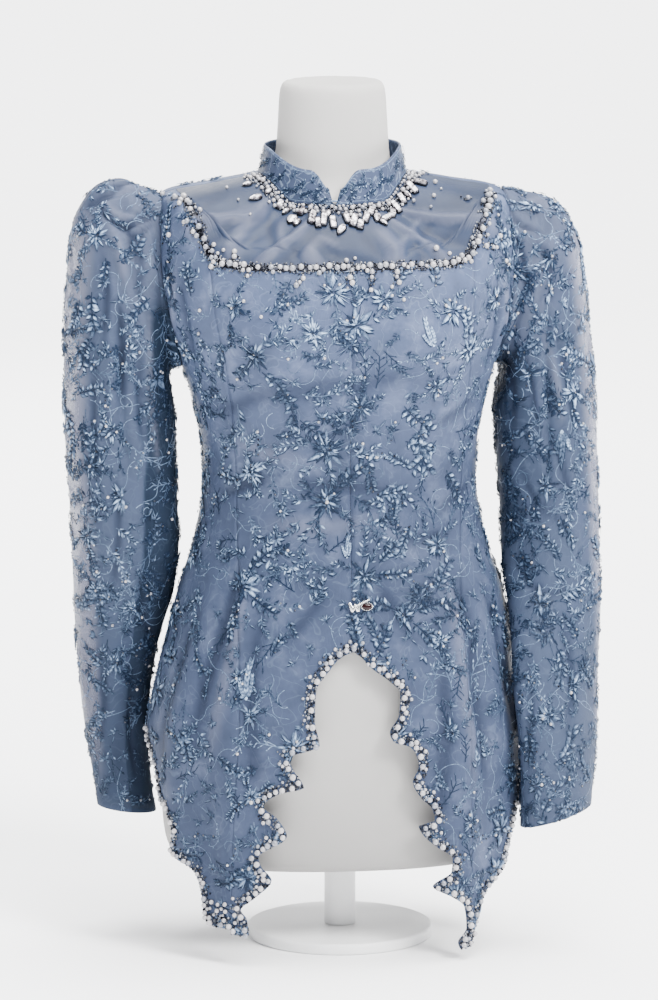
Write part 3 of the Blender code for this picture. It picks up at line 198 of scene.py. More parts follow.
# Folds of the sleeves: ring, angle round from the shoulder point to the front, depth, how many
# rings and how wide an angle it spreads over, and how many degrees it turns for each ring.
SLEEVE_FOLDS = {side: sized(rows, 10, 1, TENTHS, 100, 10, 1) for side, rows in ((-1, (
    (26, 50, 75, 55, 200, 8), (42, 66, 55, 60, 180, 6), (19, 80, 35, 45, 160, 0),
    (33, 84, 40, 40, 150, 5), (54, 60, 25, 70, 140, 0), (22, 20, 30, 40, 140, 0),
    (95, 95, 40, 80, 240, 10), (120, 60, 35, 70, 260, 0), (75, 112, 30, 120, 90, 2),
    (108, 120, 40, 160, 90, -3), (134, 96, 25, 80, 160, 8), (112, 30, 25, 60, 200, 0),
    (84, 50, 20, 80, 180, 10), (156, 80, 16, 70, 180, 0), (30, -60, 50, 50, 200, 6),
    (46, -74, 40, 60, 180, 0), (100, -95, 35, 80, 260, 8), (125, -70, 30, 80, 240, 0),
    (15, -42, 50, 150, 50, 3), (15, -58, 45, 150, 50, 0), (76, 88, 50, 260, 55, 3),
    (66, 74, -26, 200, 60, 2),
)), (1, (
    (24, 48, 55, 55, 200, 6), (46, 70, 45, 70, 180, 0), (34, 82, 30, 40, 140, 4),
    (18, 76, 25, 40, 140, 0), (86, 100, 40, 80, 260, 6), (114, 70, 35, 70, 280, 0),
    (64, 108, 30, 100, 100, 2), (98, 64, 25, 70, 200, 8), (126, 104, 25, 80, 140, 0),
    (136, 50, 20, 70, 200, 6), (30, -60, 45, 50, 200, 6), (48, -74, 40, 60, 180, 0),
    (90, -95, 35, 80, 260, 8), (120, -70, 30, 80, 240, 0), (15, -42, 45, 150, 50, 3),
    (15, -58, 40, 150, 50, 0), (70, 92, 50, 260, 55, 3), (90, 74, -26, 200, 60, 2),
)))}

# Folds by three places each in the view, with depth and half width in the view.
VIEW_FOLDS = {node: sized(rows, *[1] * 6, TENTHS, 10) for node, rows in (("sleeve_right", (
    (98, 206, 122, 221, 155, 214, 80, 32), (103, 202, 124, 213, 150, 207, -34, 33),
    (125, 208, 139, 213, 160, 207, 42, 24), (123, 226, 135, 232, 151, 225, 50, 24),
    (126, 235, 136, 238, 147, 234, 26, 26), (84, 207, 103, 197, 117, 188, 44, 29),
    (108, 193, 130, 188, 150, 195, -24, 36), (110, 187, 120, 183, 132, 183, 34, 29),
    (127, 240, 138, 258, 139, 295, 36, 47), (112, 232, 121, 252, 122, 282, -28, 43),
    (100, 250, 106, 290, 104, 340, 30, 40), (117, 300, 122, 350, 118, 420, 34, 40),
    (150, 318, 151, 400, 160, 470, -34, 32), (141, 345, 140, 400, 146, 450, 30, 40),
    (96, 360, 92, 420, 98, 490, 28, 36), (112, 470, 118, 530, 110, 590, 30, 40),
    (142, 590, 146, 620, 158, 640, 34, 36), (96, 640, 104, 690, 100, 740, 24, 43),
    (133, 690, 131, 730, 138, 780, 30, 36),
)), ("sleeve_left", (
    (505, 268, 508, 252, 516, 240, 44, 29), (512, 214, 524, 226, 543, 230, 36, 27),
    (523, 206, 541, 202, 557, 214, -30, 36), (516, 240, 524, 262, 526, 290, 32, 32),
    (536, 238, 549, 262, 553, 300, 30, 36), (545, 335, 557, 385, 562, 420, -34, 32),
    (556, 330, 568, 385, 574, 430, 34, 32), (503, 345, 511, 385, 512, 430, 34, 36),
    (524, 350, 532, 400, 540, 455, 34, 36), (548, 430, 566, 480, 570, 520, 28, 36),
    (520, 470, 538, 505, 566, 520, 30, 36), (515, 560, 538, 590, 575, 585, 30, 36),
    (560, 620, 572, 670, 566, 730, 26, 43), (526, 660, 530, 720, 524, 780, 26, 43),
)), ("yoke_front", (
    (199, 236, 222, 219, 250, 209, -16, 34), (207, 240, 232, 226, 258, 218, 19, 32),
    (196, 218, 208, 204, 226, 194, 14, 34), (273, 210, 269, 231, 278, 252, 23, 30),
    (283, 220, 280, 234, 286, 250, -18, 32), (290, 232, 293, 246, 300, 262, 15, 32),
    (314, 236, 332, 244, 346, 262, -18, 36), (309, 243, 322, 252, 332, 264, 16, 32),
    (362, 230, 368, 243, 384, 258, 16, 34), (374, 226, 384, 240, 396, 250, -14, 36),
    (388, 258, 408, 236, 424, 210, -16, 36), (400, 258, 420, 240, 436, 216, 19, 32),
    (440, 252, 452, 232, 468, 214, 16, 34), (230, 250, 248, 240, 262, 238, 14, 32),
)))}

# Painted shade on the sleeves, in the same way, with how dark it is and the half width.
VIEW_SHADES = {
    "sleeve_right": ((157, 296, 166, 345, 172, 400, 0.96, 15), (169, 296, 167, 420, 173, 560, 0.96, 15)),
    "sleeve_left": ((492, 318, 497, 360, 505, 425, 0.9, 13),),
}

COLLAR_TOP_SIDE = 0.816
COLLAR_TOP_FRONT = 0.799
COLLAR_LEAN = 0.006
COLLAR_SEAT = 0.0002
COLLAR_TUCK = 0.0004         # the body's cloth runs this far under the collar
COLLAR_FRONT_ARC = (math.radians(25), math.radians(80))
NOTCH_ANGLE = math.radians(-3.5)
NOTCH_HALF_BASE = 0.001
NOTCH_HALF_TOP = 0.0055
COLLAR_CORNER = math.radians(20)
COLLAR_CORNER_DROP = 0.55

CLASP_HEIGHT = 0.367
CLASP_X = 0.0045

# Cuts of the cloth pieces: width, length and area of the flat piece.
CUTS = {
    "front_center_left": (0.137, 0.73, 0.0684), "front_center_right": (0.137, 0.71, 0.0674),
    "front_side_left": (0.11, 0.79, 0.066), "front_side_right": (0.12, 0.77, 0.0713),
    "back_left": (0.25, 0.62, 0.1238), "back_right": (0.25, 0.62, 0.1243),
    "yoke_front": (0.34, 0.135, 0.0387), "collar_left": (0.24, 0.045, 0.007),
    "collar_right": (0.24, 0.045, 0.0067), "sleeve_left": (0.38, 0.66, 0.1764),
    "sleeve_right": (0.39, 0.68, 0.1822),
}

CENTRE_COLUMNS = 28          # faces across the cloth pieces
SIDE_COLUMNS = 22
YOKE_COLUMNS = 120
BACK_COLUMNS = 56
LEVEL_MERGE = 0.0006         # levels closer than this are one row
YOKE_PRESS = 0.0006          # a stroke presses the yoke in no deeper, as the form is close
DEEP_CREASE = 0.002          # depth at which a crease gets the most painted shade, or a ridge the most painted highlight
CREASE_WANDER = 0.25         # how far a crease wanders, in widths
SLEEVE_FLAT = 0.06           # radius that turns an angle into a width in the sleeves' UV map
SMALL_FOLDS = 30             # small random folds on each sleeve
SHEER_ARC = (28, 56)         # the outer edge is sheer up to the first angle, dense from the second
# Painted shade of a sleeve: ring, angle from which its inner side is painted dark, how dark that and all
# of it is.
SHADES = {
    -1: ((1, 140, 0, 0), (2.6, 126, 0.9, 0), (5, 113, 0.96, 0),
         (9, 115, 0.96, 0), (12, 100, 0.92, 0.1), (14, 93, 0.86, 0.3),
         (15.5, 88, 0.8, 0.42)),
    1: ((1, 140, 0, 0), (2.6, 126, 0.85, 0), (5, 116, 0.88, 0),
        (6.6, 112, 0.66, 0.06), (8.6, 106, 0.34, 0.1), (11, 100, 0.16, 0.1),
        (14.5, 95, 0.1, 0.14)),
}
SHADE_EDGE = 5               # degrees over which the shade sets in
UPPER_SHEER = 0.08
ORGANZA_ALPHA = (0.95, 0.46)
CUFF_HEM = 0.009
CUFF_STEP = 0.0005
COLLAR_COLUMNS = 70
COLLAR_ROWS = 10
COLLAR_LINES = ((0.93, 0.0009), (0.12, 0.0006))   # share of the height, width of the line
COLLAR_LINE_SPAN = (0.012, 0.995, 150)    # shares of the length where a line starts and ends, points
COLLAR_EASE = 1.5            # places on the collar lie closer towards the front
COLLAR_FLAT = (0.23, 0.04)   # length and height of the collar in its UV map
COLLAR_SPRIGS = 46

OFF_CLOTH = 0.0018           # a stitch further than this from the cloth is left out
SHARPEST = 0.2               # cosine of the sharpest bend that a stem can follow
LEAF_SAG = 0.45              # a long leaf may lie this much further off where the cloth curves
LEAF_OUTLINE = ((0, 0, 0), (0.33, 1, 0), (0.72, 0.66, 0), (1, 0, 0),
                (0.72, -0.66, 0), (0.33, -1, 0), (0.48, 0, 1))
LEAF_FACES = ((0, 5, 6), (5, 4, 6), (4, 3, 6), (3, 2, 6), (2, 1, 6), (1, 0, 6))
SHADOW_OUTLINE = ((0, 0, 0), (0.45, 1, 0), (1, 0, 0), (0.45, -1, 0))
SHADOW_FACES = ((0, 3, 2), (0, 2, 1))
CORD_HEIGHT = 0.4            # height of a cord over the cloth, in widths
LEAF_CROWN = 0.42            # height of a leaf's middle, in widths
LEAF_ROOT = 0.00008          # how far its outline sinks into the cloth
LAYER = 0.0004
DIM_FROM, DIM_SPAN, DIM_SHARE = 0.05, 0.35, 0.55      # painted shade on leaves on the inner side of a sleeve
CALM_LEVEL, CALM_SPAN, CALM_TONE, CALM_SHARE = 0.42, 0.16, 0.42, 0.32    # and low down
PALE, MIDDLE, DARK = (0.62, 1), (0.34, 0.58), (0, 0.32)    # tones of leaves
MIDDLE_SHARE = 0.24
FILLER_CALM, SLEEVE_CALM = 0.3, 0.34    # and in the small filling sprigs
SHADOW_FROM = 0.62           # leaves paler than this have painted shadows under them
SHADOW_TONE = 0.03
SHADOW_DROP = 0.001
LEAF_PAINTED_LIGHT = (0.5, 0.55)    # painted shade at a leaf's outline and painted highlight on its ridge: tone at the outline and what the ridge adds, as shares of it
SIDE_Y = 0.03                # the body's embroidery is one piece before this and one behind it
SPRAY_SCALE = 1.22
SPRAY_GAP = 0.04             # least distance between sprays where none is named
FAR_OFF = (9, 9, 9)          # a place that is near to nothing
FREE_STRIDE = 3              # every how many points of a skin are tried for a free place
KNOT_TONE = 0.45             # sprays darker than this get painted shade on the cloth about them
KNOT_REACH = 13              # by so much, in the view
KNOT_SHADE = 0.6
SEED = 11

PEARL_RISE, BEAD_RISE = 0.7, 0.6    # height of their centres over the cloth, in radii
BEAD_CELL = 0.008            # beads are sought in cells of this size
BEAD_OFF_CLOTH = OFF_CLOTH * 1.5
CROWDING = 0.86              # beads may touch: least distance as a share of their radii
YOKE_BAND = 0.009
TRIM_ROUNDING = 20           # rounds of smoothing of the trim's corners
YOKE_SPRIGS = sized((        # place in the view, heading, length
    (212, 268, 75, 22), (233, 258, 10, 12), (300, 277, 262, 14), (350, 277, 265, 14),
    (352, 272, 95, 14), (397, 272, 262, 16), (440, 266, 80, 14), (193, 232, 20, 12),
    (478, 230, 330, 22), (181, 205, 205, 12), (250, 271, 262, 8), (484, 246, 350, 22),
    (176, 200, 150, 10), (469, 200, 150, 12), (190, 222, 190, 14), (372, 272, 265, 16),
), 1, 1, 1, MM)
SPRIG_STEP, SPRIG_BACK = 0.005, 0.004    # between its pearls; a sprig starts this far back
SPRIG_PEARL, SPRIG_TAPER = 0.0027, 0.45
SPRIG_BEADS, SPRIG_BEAD, SPRIG_BEAD_GAP = 5, 0.0011, 0.0013    # by each pearl, radius, its distance
YOKE_PEARLS = sized((        # place in the view, radius
    (227, 189, 16), (238, 201, 15), (250, 215, 13), (435, 184, 24), (434, 197, 22), (431, 208, 17),
    (414, 202, 21), (441, 190, 13), (262, 317, 19), (404, 300, 20), (445, 306, 18), (201, 310, 19),
    (200, 333, 18), (436, 249, 30), (448, 255, 22), (461, 257, 30), (470, 262, 24), (234, 253, 28),
    (214, 246, 24), (224, 251, 20), (296, 286, 30), (303, 279, 26), (352, 283, 30), (399, 283, 28),
    (371, 290, 24), (171, 235, 26), (164, 196, 26), (504, 261, 24), (498, 236, 26), (392, 287, 20),
    (346, 262, 24), (355, 259, 18),
), 1, 1, TENTHS)
BAND_STEP = 0.0025           # the low rounded band under the beads of a trim
BAND_CROWN = 0.0009
BAND_ROOT = 0.0001
BAND_PROFILE = ((-0.5, 0), (-0.46, 0.7), (-0.25, 0.95), (0, 1), (0.25, 0.95), (0.46, 0.7),
                (0.5, 0))
TRIM_LIFT = CLOTH / 2 + 0.0006
NECK_BAND = 0.007
NECK_BAND_FROM_SEAM = 0.004
NECK_HALF_ARC = math.radians(86)
# Stones of the neck by kind: place in the view, heading, length, width.
NECK_STONES = {kind: sized(rows, 1, 1, 1, TENTHS, TENTHS) for kind, rows in (("cut", (
    (280, 206, 60, 100, 46), (302, 213, 78, 95, 40), (311, 219, 90, 150, 48),
    (324, 221, 86, 150, 46), (333, 224, 94, 140, 46), (354, 222, 72, 150, 52),
    (366, 219, 66, 130, 48), (388, 218, 48, 140, 48), (396, 208, 130, 140, 42),
    (402, 200, 120, 120, 42), (412, 189, 125, 150, 46), (420, 184, 150, 120, 42),
    (318, 224, 96, 110, 42), (347, 220, 100, 110, 44), (360, 226, 75, 100, 50),
    (371, 213, 60, 100, 50), (392, 214, 60, 110, 46),
)), ("drop", (
    (255, 199, 15, 130, 60), (268, 193, 50, 90, 50), (292, 221, 80, 120, 95),
    (341, 231, 60, 130, 68), (377, 219, 68, 130, 66), (247, 186, 30, 90, 46),
    (286, 213, 70, 90, 50), (297, 224, 84, 100, 70), (328, 215, 84, 90, 50),
    (383, 224, 110, 100, 46), (408, 196, 135, 100, 42),
)))}
STONE_HEIGHT = 0.0034
STONE_SCALE = (1.1, 1.16)
STONE_LIFT = 0.0012          # height of a stone's back over the cloth
SETTING_RIM = 0.0012         # a setting stands out this far round its stone
SETTING_HEIGHT = 0.7         # as a share of the stone's
CLASP_FACE = 0.003           # height of the clasp's face over the middle of the cloth
CLASP_GEMS = sized((         # across, up, radius
    (-78, 36, 10), (-62, -28, 9), (-40, 2, 9), (-16, 26, 10), (-6, -30, 9), (14, 0, 9),
    (28, 30, 10), (-72, 6, 8), (-50, -16, 7), (4, -12, 7),
), TENTHS, TENTHS, TENTHS)
CLASP_ARM = ((-0.0012, 0.0008), (0.0118, 0.0066))    # a bar of studs over the stone
CLASP_ARM_RISE = 0.0012
CLASP_ARM_STUDS, STUD_RADIUS = 12, 0.00105
STONE_RING = (0.0056, 0.0037)
RING_STUDS, RING_STUD_RADIUS, RING_SINK = 22, 0.00065, 0.0006
BEZEL_BEVEL = 0.0005
STAND_BEVEL = {"stand_base": 0.003, "stand_pole": 0.0005}
STAND_SMOOTH, BEZEL_SMOOTH = math.radians(35), math.radians(40)    # flatter edges look round
FLAT_FACES = math.radians(2)    # faces that bend less than this are one flat face
JOIN = 0.00001               # vertices closer than this are one

FLOOR_SIZE = 60
LIGHTS = (                   # name, kind, place, size in metres or radians, power
    ("key", "SUN", (2.2, -2.4, 3.4), 0.3, 6), ("overhead", "SUN", (0.3, 0.4, 4), 0.8, 10.5),
    ("chest", "AREA", (0.2, -1.05, 1.5), 0.8, 26), ("side", "AREA", (3.2, 0.8, 1.6), 1.6, 60),
    ("back", "AREA", (-0.6, 2.8, 1.8), 2.4, 60),
)
LIGHT_AIM = (0, 0, 0.45)
WORLD_COLOUR = (0.93, 0.95, 1, 1)
WORLD_STRENGTH = 0.72

VIEW_WIDTH = 658
VIEW_HEIGHT = 1000
VIEW_UNIT = 0.00102          # size of one unit of the view at the blouse
VIEW_AZIMUTH = math.radians(-6)
VIEW_ELEVATION = math.radians(10.8)
VIEW_DISTANCE = 8
VIEW_CENTRE_Z = 0.4548
VIEW_SHIFT = -0.0112
SENSOR = 0.036

BACK_GAP = 1.2               # the back is filled less close by this share
SLEEVE_GAP = 0.74            # the sleeves are filled closer by this share
FILLER_GAP = 0.0158          # least distance between a small filling sprig and any other spray
SPRAY_SHARES = (0.1, 0.22, 0.35, 0.5, 0.7)

PAINTED_LIGHT_LEVELS = (0.49, 0.61)  # painted highlight and painted shade: the cloth and its thread are painted lighter above these levels and darker below them
CLOTH_PAINTED_LIGHT = (0.87, 1.33)
THREAD_PAINTED_LIGHT = (0.92, 1.12)
FORM_SHADE_LEVELS = (0.1, 0.36)    # painted shade on the form's cover: darker low down
FORM_SHADE_SHARES = (0.52, 0.86)
PEARL_GREY = (0.17, 0.18, 0.215, 1)
# colour of the painted shade on the sleeves
SLEEVE_SHADE = (0.008, 0.014, 0.026, 1)
# colour of the painted shade in creases and folds
PAINTED_CREASE_SHADE = (0.014, 0.019, 0.036, 1)
BEAD_DARK = (0.008, 0.009, 0.014, 1)
BEAD_LIGHT = (0.3, 0.31, 0.34, 1)
# colours of the painted reflections in the stones' facets
CRYSTAL_BRIGHT_REFLECTION = (0.54, 0.515, 0.535, 1)
CRYSTAL_DARK_REFLECTION = (0.06, 0.05, 0.058, 1)
SILVER = (0.7, 0.7, 0.7, 1)
STONE = (0.009, 0.0006, 0.0012, 1)
STAND = (0.8, 0.8, 0.8, 1)
FLOOR = (0.96, 0.96, 0.965, 1)


# ---------------------------------------------------------------- the torso's surface
def slopes(knots, values):
    """Slopes of a curve through the values that never overshoots them."""
    run = np.diff(knots).reshape((-1,) + (1,) * (values.ndim - 1))
    rise = np.diff(values, axis=0) / run
    steady = rise[:-1] * rise[1:] > 0
    first = np.where(steady, rise[:-1], 1)
    second = np.where(steady, rise[1:], 1)
    before = 2 * run[1:] + run[:-1]
    after = run[1:] + 2 * run[:-1]
    middle = np.where(steady, (before + after) / (before / first + after / second), 0)
    return np.concatenate([rise[:1], middle, rise[-1:]])


def curve(knots, values, at):
    """Smooth curve through values at knots, read at each place of at."""
    at = np.clip(np.asarray(at, dtype=float), knots[0], knots[-1])
    i = np.clip(np.searchsorted(knots, at, side="right") - 1, 0, len(knots) - 2)
    shape = at.shape + (1,) * (values.ndim - 1)
    step = (knots[i + 1] - knots[i]).reshape(shape)
    s = (at - knots[i]).reshape(shape) / step
    steep = slopes(knots, values)
    return ((1 + 2 * s) * (1 - s) ** 2 * values[i] + s * s * (3 - 2 * s) * values[i + 1]
            + step * (s * (1 - s) ** 2 * steep[i] + s * s * (s - 1) * steep[i + 1]))


RING_LEVELS = np.array([row[0] for row in RINGS])
RING_VALUES = np.array([row[1:] + ([] if row[7:] else row[:1] * 3) for row in RINGS])


def smoothstep(low, high, value):
    s = np.clip((value - low) / (high - low), 0, 1)
    return s * s * (3 - 2 * s)


def signed_power(value, power):
    return np.sign(value) * np.abs(value) ** power


def unit(vectors):
    return vectors / np.linalg.norm(vectors, axis=-1, keepdims=True)


def ring_at(level):
    values = curve(RING_LEVELS, RING_VALUES, level)
    return dict(zip(RING_COLUMNS, np.moveaxis(values, -1, 0)))


def ring_point(ring, angle):
    """Points of a ring: angle 0 in front, +90 degrees at the wearer's left."""
    power = 2 / ring["squareness"]
    across = signed_power(np.sin(angle), power)
    forward = signed_power(np.cos(angle), power)
    front = forward > 0
    y = ring["y_side"] + forward * np.where(front, ring["y_front"] - ring["y_side"],
                                            ring["y_side"] - ring["y_back"])
    z_middle = np.where(front, ring["z_front"], ring["z_back"])
    z = z_middle + (ring["z_side"] - z_middle) * smoothstep(SHOULDER_RISE_FROM, 1, np.abs(across))
    return np.stack(np.broadcast_arrays(ring["x_mid"] + ring["half_width"] * across, y, z), axis=-1)


def torso(level, angle):
    """Middle of the cloth wall at levels and angles, without its small creases."""
    ring = ring_at(level)
    point = ring_point(ring, angle)
    lift = 0
    for side in (-BUST_POINT, BUST_POINT):
        u = (point[..., 0] - side) / BUST_SPREAD[0]
        v = (point[..., 2] - BUST_HEIGHT) / BUST_SPREAD[1]
        lift = lift + BUST_DEPTH * np.exp(-u * u - v * v)
    point[..., 1] -= np.where(point[..., 1] > 0, 0, lift)
    outward = np.stack([point[..., 0] - ring["x_mid"], point[..., 1] - ring["y_side"],
                        np.zeros(point.shape[:-1])], axis=-1)
    stand_out = 0
    for degrees, height, width in FLARES:
        away = (np.degrees(angle) - degrees + 180) % 360 - 180
        stand_out = stand_out + height * np.exp(-(away / width) ** 2)
    stand_out = stand_out * smoothstep(FLARE_TOP, SIDE_HEM, level)
    return point + unit(outward) * stand_out[..., None]


def torso_normal(level, angle):
    step = 0.002
    turn = 0.02
    along = torso(level, angle + turn) - torso(level, angle - turn)
    up = (torso(np.minimum(level + step, NECK_LEVEL), angle)
          - torso(np.maximum(level - step, 0), angle))
    return unit(np.cross(along, up))


def angle_at(level, x):
    """Angle of the front surface point that lies at x."""
    ring = ring_at(level)
    share = np.clip((x - ring["x_mid"]) / ring["half_width"], -1, 1)
    return np.arcsin(signed_power(share, ring["squareness"] / 2))


def turn_of(level, angle, distance):
    """Change of angle that moves a point this far round the ring."""
    step = 0.01
    run = np.linalg.norm(torso(level, angle + step) - torso(level, angle - step), axis=-1)
    return distance * 2 * step / run


def climb_of(level, angle, distance):
    """Change of level that moves a point this far up the surface."""
    step = 0.002
    low = np.maximum(level - step, 0)
    high = np.minimum(level + step, NECK_LEVEL)
    run = np.linalg.norm(torso(high, angle) - torso(low, angle), axis=-1)
    return distance * (high - low) / run


def crease_depth(level, angle):
    """How deep the small creases press in; each wanders a little and fades towards its ends."""
    total = 0
    for from_level, from_angle, to_level, to_angle, depth, width in CREASES:
        start = np.array([math.radians(from_angle) * FLAT, from_level])
        run = np.array([math.radians(to_angle) * FLAT, to_level]) - start
        length = math.hypot(*run)
        u = angle * FLAT - start[0]
        v = level - start[1]
        along = (u * run[0] + v * run[1]) / length ** 2
        away = (u * run[1] - v * run[0]) / length
        away = away + CREASE_WANDER * width * np.sin(along * 5 + from_angle)
        fade = smoothstep(-0.25, 0.3, along) * smoothstep(1.25, 0.6, along)
        total = total + depth * fade * np.exp(-(away / width) ** 2)
    return total


def cloth_point(level, angle):
    """Middle of the creased cloth."""
    return torso(level, angle) - torso_normal(level, angle) * crease_depth(level, angle)[..., None]


# ---------------------------------------------------------------- seams and edges
def armhole_level(turn):
    """Level of the armhole at this turn: 0 at the shoulder, 180 degrees under the arm."""
    middle = (ARMHOLE_TOP + ARMHOLE_BOTTOM) / 2
    return middle + (ARMHOLE_TOP - ARMHOLE_BOTTOM) / 2 * np.cos(turn)


def armhole_reach(level, widest):
    """Angle by which the armhole cuts into a panel at this level."""
    middle = (ARMHOLE_TOP + ARMHOLE_BOTTOM) / 2
    share = (level - middle) / ((ARMHOLE_TOP - ARMHOLE_BOTTOM) / 2)
    return widest * np.sqrt(np.clip(1 - share * share, 0, None))


YOKE_LEVEL = armhole_level(math.pi / 4)


def edge_reader(table):
    knots, values = np.array(table).T
    return lambda level: curve(knots, values, level)


PRINCESS_X = {side: edge_reader([(row[0], side * row[place]) for row in PRINCESS])
              for side, place in ((-1, 1), (1, 2))}


def princess_angle(side, level):
    """Princess seam, which runs on as the side of the yoke up to the shoulder seam."""
    angle = angle_at(level, PRINCESS_X[side](level))
    return np.where(level >= SHOULDER_END_OF_YOKE, side * math.pi / 2, angle)


def princess_edge(side, towards):
    """Edge of a piece beside the princess seam, on the seam's +angle or -angle side."""
    def edge(level):
        angle = princess_angle(side, level)
        return angle + towards * turn_of(level, angle, SEAM_GAP / 2)
    return edge


def centre_front(level):
    return angle_at(level, 0)


def arch_edge(side):
    """Inner edge of a front: the centre line, and below it the lobed arch."""
    reader = edge_reader(ARCH_EDGE[side])

    def edge(level):
        middle = centre_front(level)
        straight = middle + side * turn_of(level, middle, SEAM_GAP / 2)
        lobed = angle_at(level, side * np.maximum(reader(level), SEAM_GAP / 2))
        return np.where(level < ARCH_TOP, lobed, straight)
    return edge


def tail_edge(side):
    """Outer edge of a front: the side seam and armhole, and below them the lobed tail."""
    reader = edge_reader(TAIL_EDGE[side])

    def edge(level):
        reach = armhole_reach(level, ARMHOLE_FRONT)
        seam = side * (math.pi / 2 - reach - turn_of(level, math.pi / 2 - reach, SEAM_GAP / 2))
        return np.where(level < SIDE_HEM, angle_at(level, side * reader(level)), seam)
    return edge


def scalloped(level, angle):
    """Rows near the back hem follow its scallops, which run out above it."""
    fade = smoothstep(0.28, SIDE_HEM, level)
    phase = (np.abs(angle) - math.pi / 2) / (math.pi / 2) * BACK_SCALLOPS
    return level - BACK_SCALLOP_DEPTH * np.abs(np.sin(math.pi * phase)) * fade


def fine_levels(low, high, corners=(), plain=ROW):
    """Levels from low to high, through the corners and the bends of the armhole."""
    arm = armhole_level(np.linspace(0, math.pi, 41))
    anchors = [low]
    for level in sorted(list(arm) + list(corners)):
        if anchors[-1] + LEVEL_MERGE < level < high - LEVEL_MERGE:
            anchors.append(level)
    anchors.append(high)
    levels = []
    for a, b in zip(anchors, anchors[1:]):
        row = EDGE_ROW if b < ARCH_TOP + ROW else plain
        steps = max(int(math.ceil((b - a) / row)), 1)
        levels += list(np.linspace(a, b, steps, endpoint=False))
    return np.array(levels + [high])


# ---------------------------------------------------------------- meshes
def grid_faces(rows, columns, closed=False, flip=False):
    """Corners of the quads of a grid, as vertex numbers and as (row, column) places."""
    r, c = np.meshgrid(np.arange(rows - 1), np.arange(columns if closed else columns - 1),
                       indexing="ij")
    r, c = r.ravel(), c.ravel()
    row = np.stack([r, r, r + 1, r + 1], axis=1)
    col = np.stack([c, c + 1, c + 1, c], axis=1)
    if flip:
        row, col = row[:, ::-1], col[:, ::-1]
    return row * columns + col % columns, row, col


def new_mesh(name, points, faces, uv=None, attributes=None):
    """Mesh from arrays: uv per face corner, attributes per vertex."""
    mesh = bpy.data.meshes.new(name)
    mesh.from_pydata(points.reshape(-1, 3).tolist(), [], faces.tolist())
    if uv is not None:
        mesh.uv_layers.new(name="UVMap").data.foreach_set("uv", uv.astype(np.float32).ravel())
    for key, values in (attributes or {}).items():
        layer = mesh.attributes.new(key, "FLOAT", "POINT")
        layer.data.foreach_set("value", np.asarray(values, dtype=np.float32).ravel())
    mesh.shade_smooth()
    mesh.update()
    return mesh


def new_object(name, mesh, finish=None):
    """Object of that name in the scene, with the shared material that is named as its finish."""
    obj = bpy.data.objects.new(name, mesh)
    mesh.materials.clear()
    mesh.materials.append(shared_material(finish))
    bpy.context.scene.collection.objects.link(obj)
    return obj


def settle(obj, slot, node=None):
    """Fixes a finished piece to the part's root; it stands for the node, if one is named."""
    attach(obj, "root")
    if node:
        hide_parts(node)
    return obj


def select_only(obj):
    bpy.ops.object.select_all(action="DESELECT")
    obj.select_set(True)
    bpy.context.view_layer.objects.active = obj


def add_modifier(obj, kind, **settings):
    """A modifier with its settings, applied at once."""
    modifier = obj.modifiers.new(kind.lower(), kind)
    for key, value in settings.items():
        setattr(modifier, key, value)
    select_only(obj)
    bpy.ops.object.modifier_apply(modifier=modifier.name)


def joined_copy(name, node, finish, flat=None):
    """Copy of a node's mesh whose loose triangles are joined, into flat faces or into quads."""
    copy = new_object(name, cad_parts[node].data.copy(), finish)
    select_only(copy)
    bpy.ops.object.mode_set(mode="EDIT")
    bpy.ops.mesh.select_all(action="SELECT")
    bpy.ops.mesh.remove_doubles(threshold=JOIN)
    if flat:
        bpy.ops.mesh.dissolve_limited(angle_limit=flat)
    else:
        bpy.ops.mesh.tris_convert_to_quads()
    bpy.ops.object.mode_set(mode="OBJECT")
    return copy


class Skin:
    """Middle surface of some cloth: its points and faces, and a search tree over them."""

    def __init__(self):
        self.points = np.zeros((0, 3))
        self.faces = np.zeros((0, 4), dtype=int)
        self.tree = None

    def add(self, points, faces):
        self.faces = np.concatenate([self.faces, faces + len(self.points)])
        self.points = np.concatenate([self.points, points.reshape(-1, 3)])
        self.tree = BVHTree.FromPolygons(self.points.tolist(), self.faces.tolist())

    def nearest(self, point):
        place, normal, _, distance = self.tree.find_nearest(point)
        return place, normal, distance

    def lay(self, points, heights):
        """Each point drawn to the skin and lifted off it."""
        laid = []
        for point, height in zip(points, heights):
            place, normal, _, _ = self.tree.find_nearest(point)
            laid.append(place + normal * height)
        return np.array(laid)


SKINS = {name: Skin() for name in ("body", "yoke", "torso", "sleeve_left", "sleeve_right", "collar")}


def cloth_sheet(node, points, faces, uv, finish, wall, slot, attributes=None):
    """Thin wall over a middle surface; it stands for the node of that name."""
    name = "cloth_" + node
    obj = new_object(name, new_mesh(name, points, faces, uv, attributes), finish)
    add_modifier(obj, "SOLIDIFY", thickness=wall, offset=0, use_rim=True)
    settle(obj, slot, node)
    width, length, area = CUTS[node]


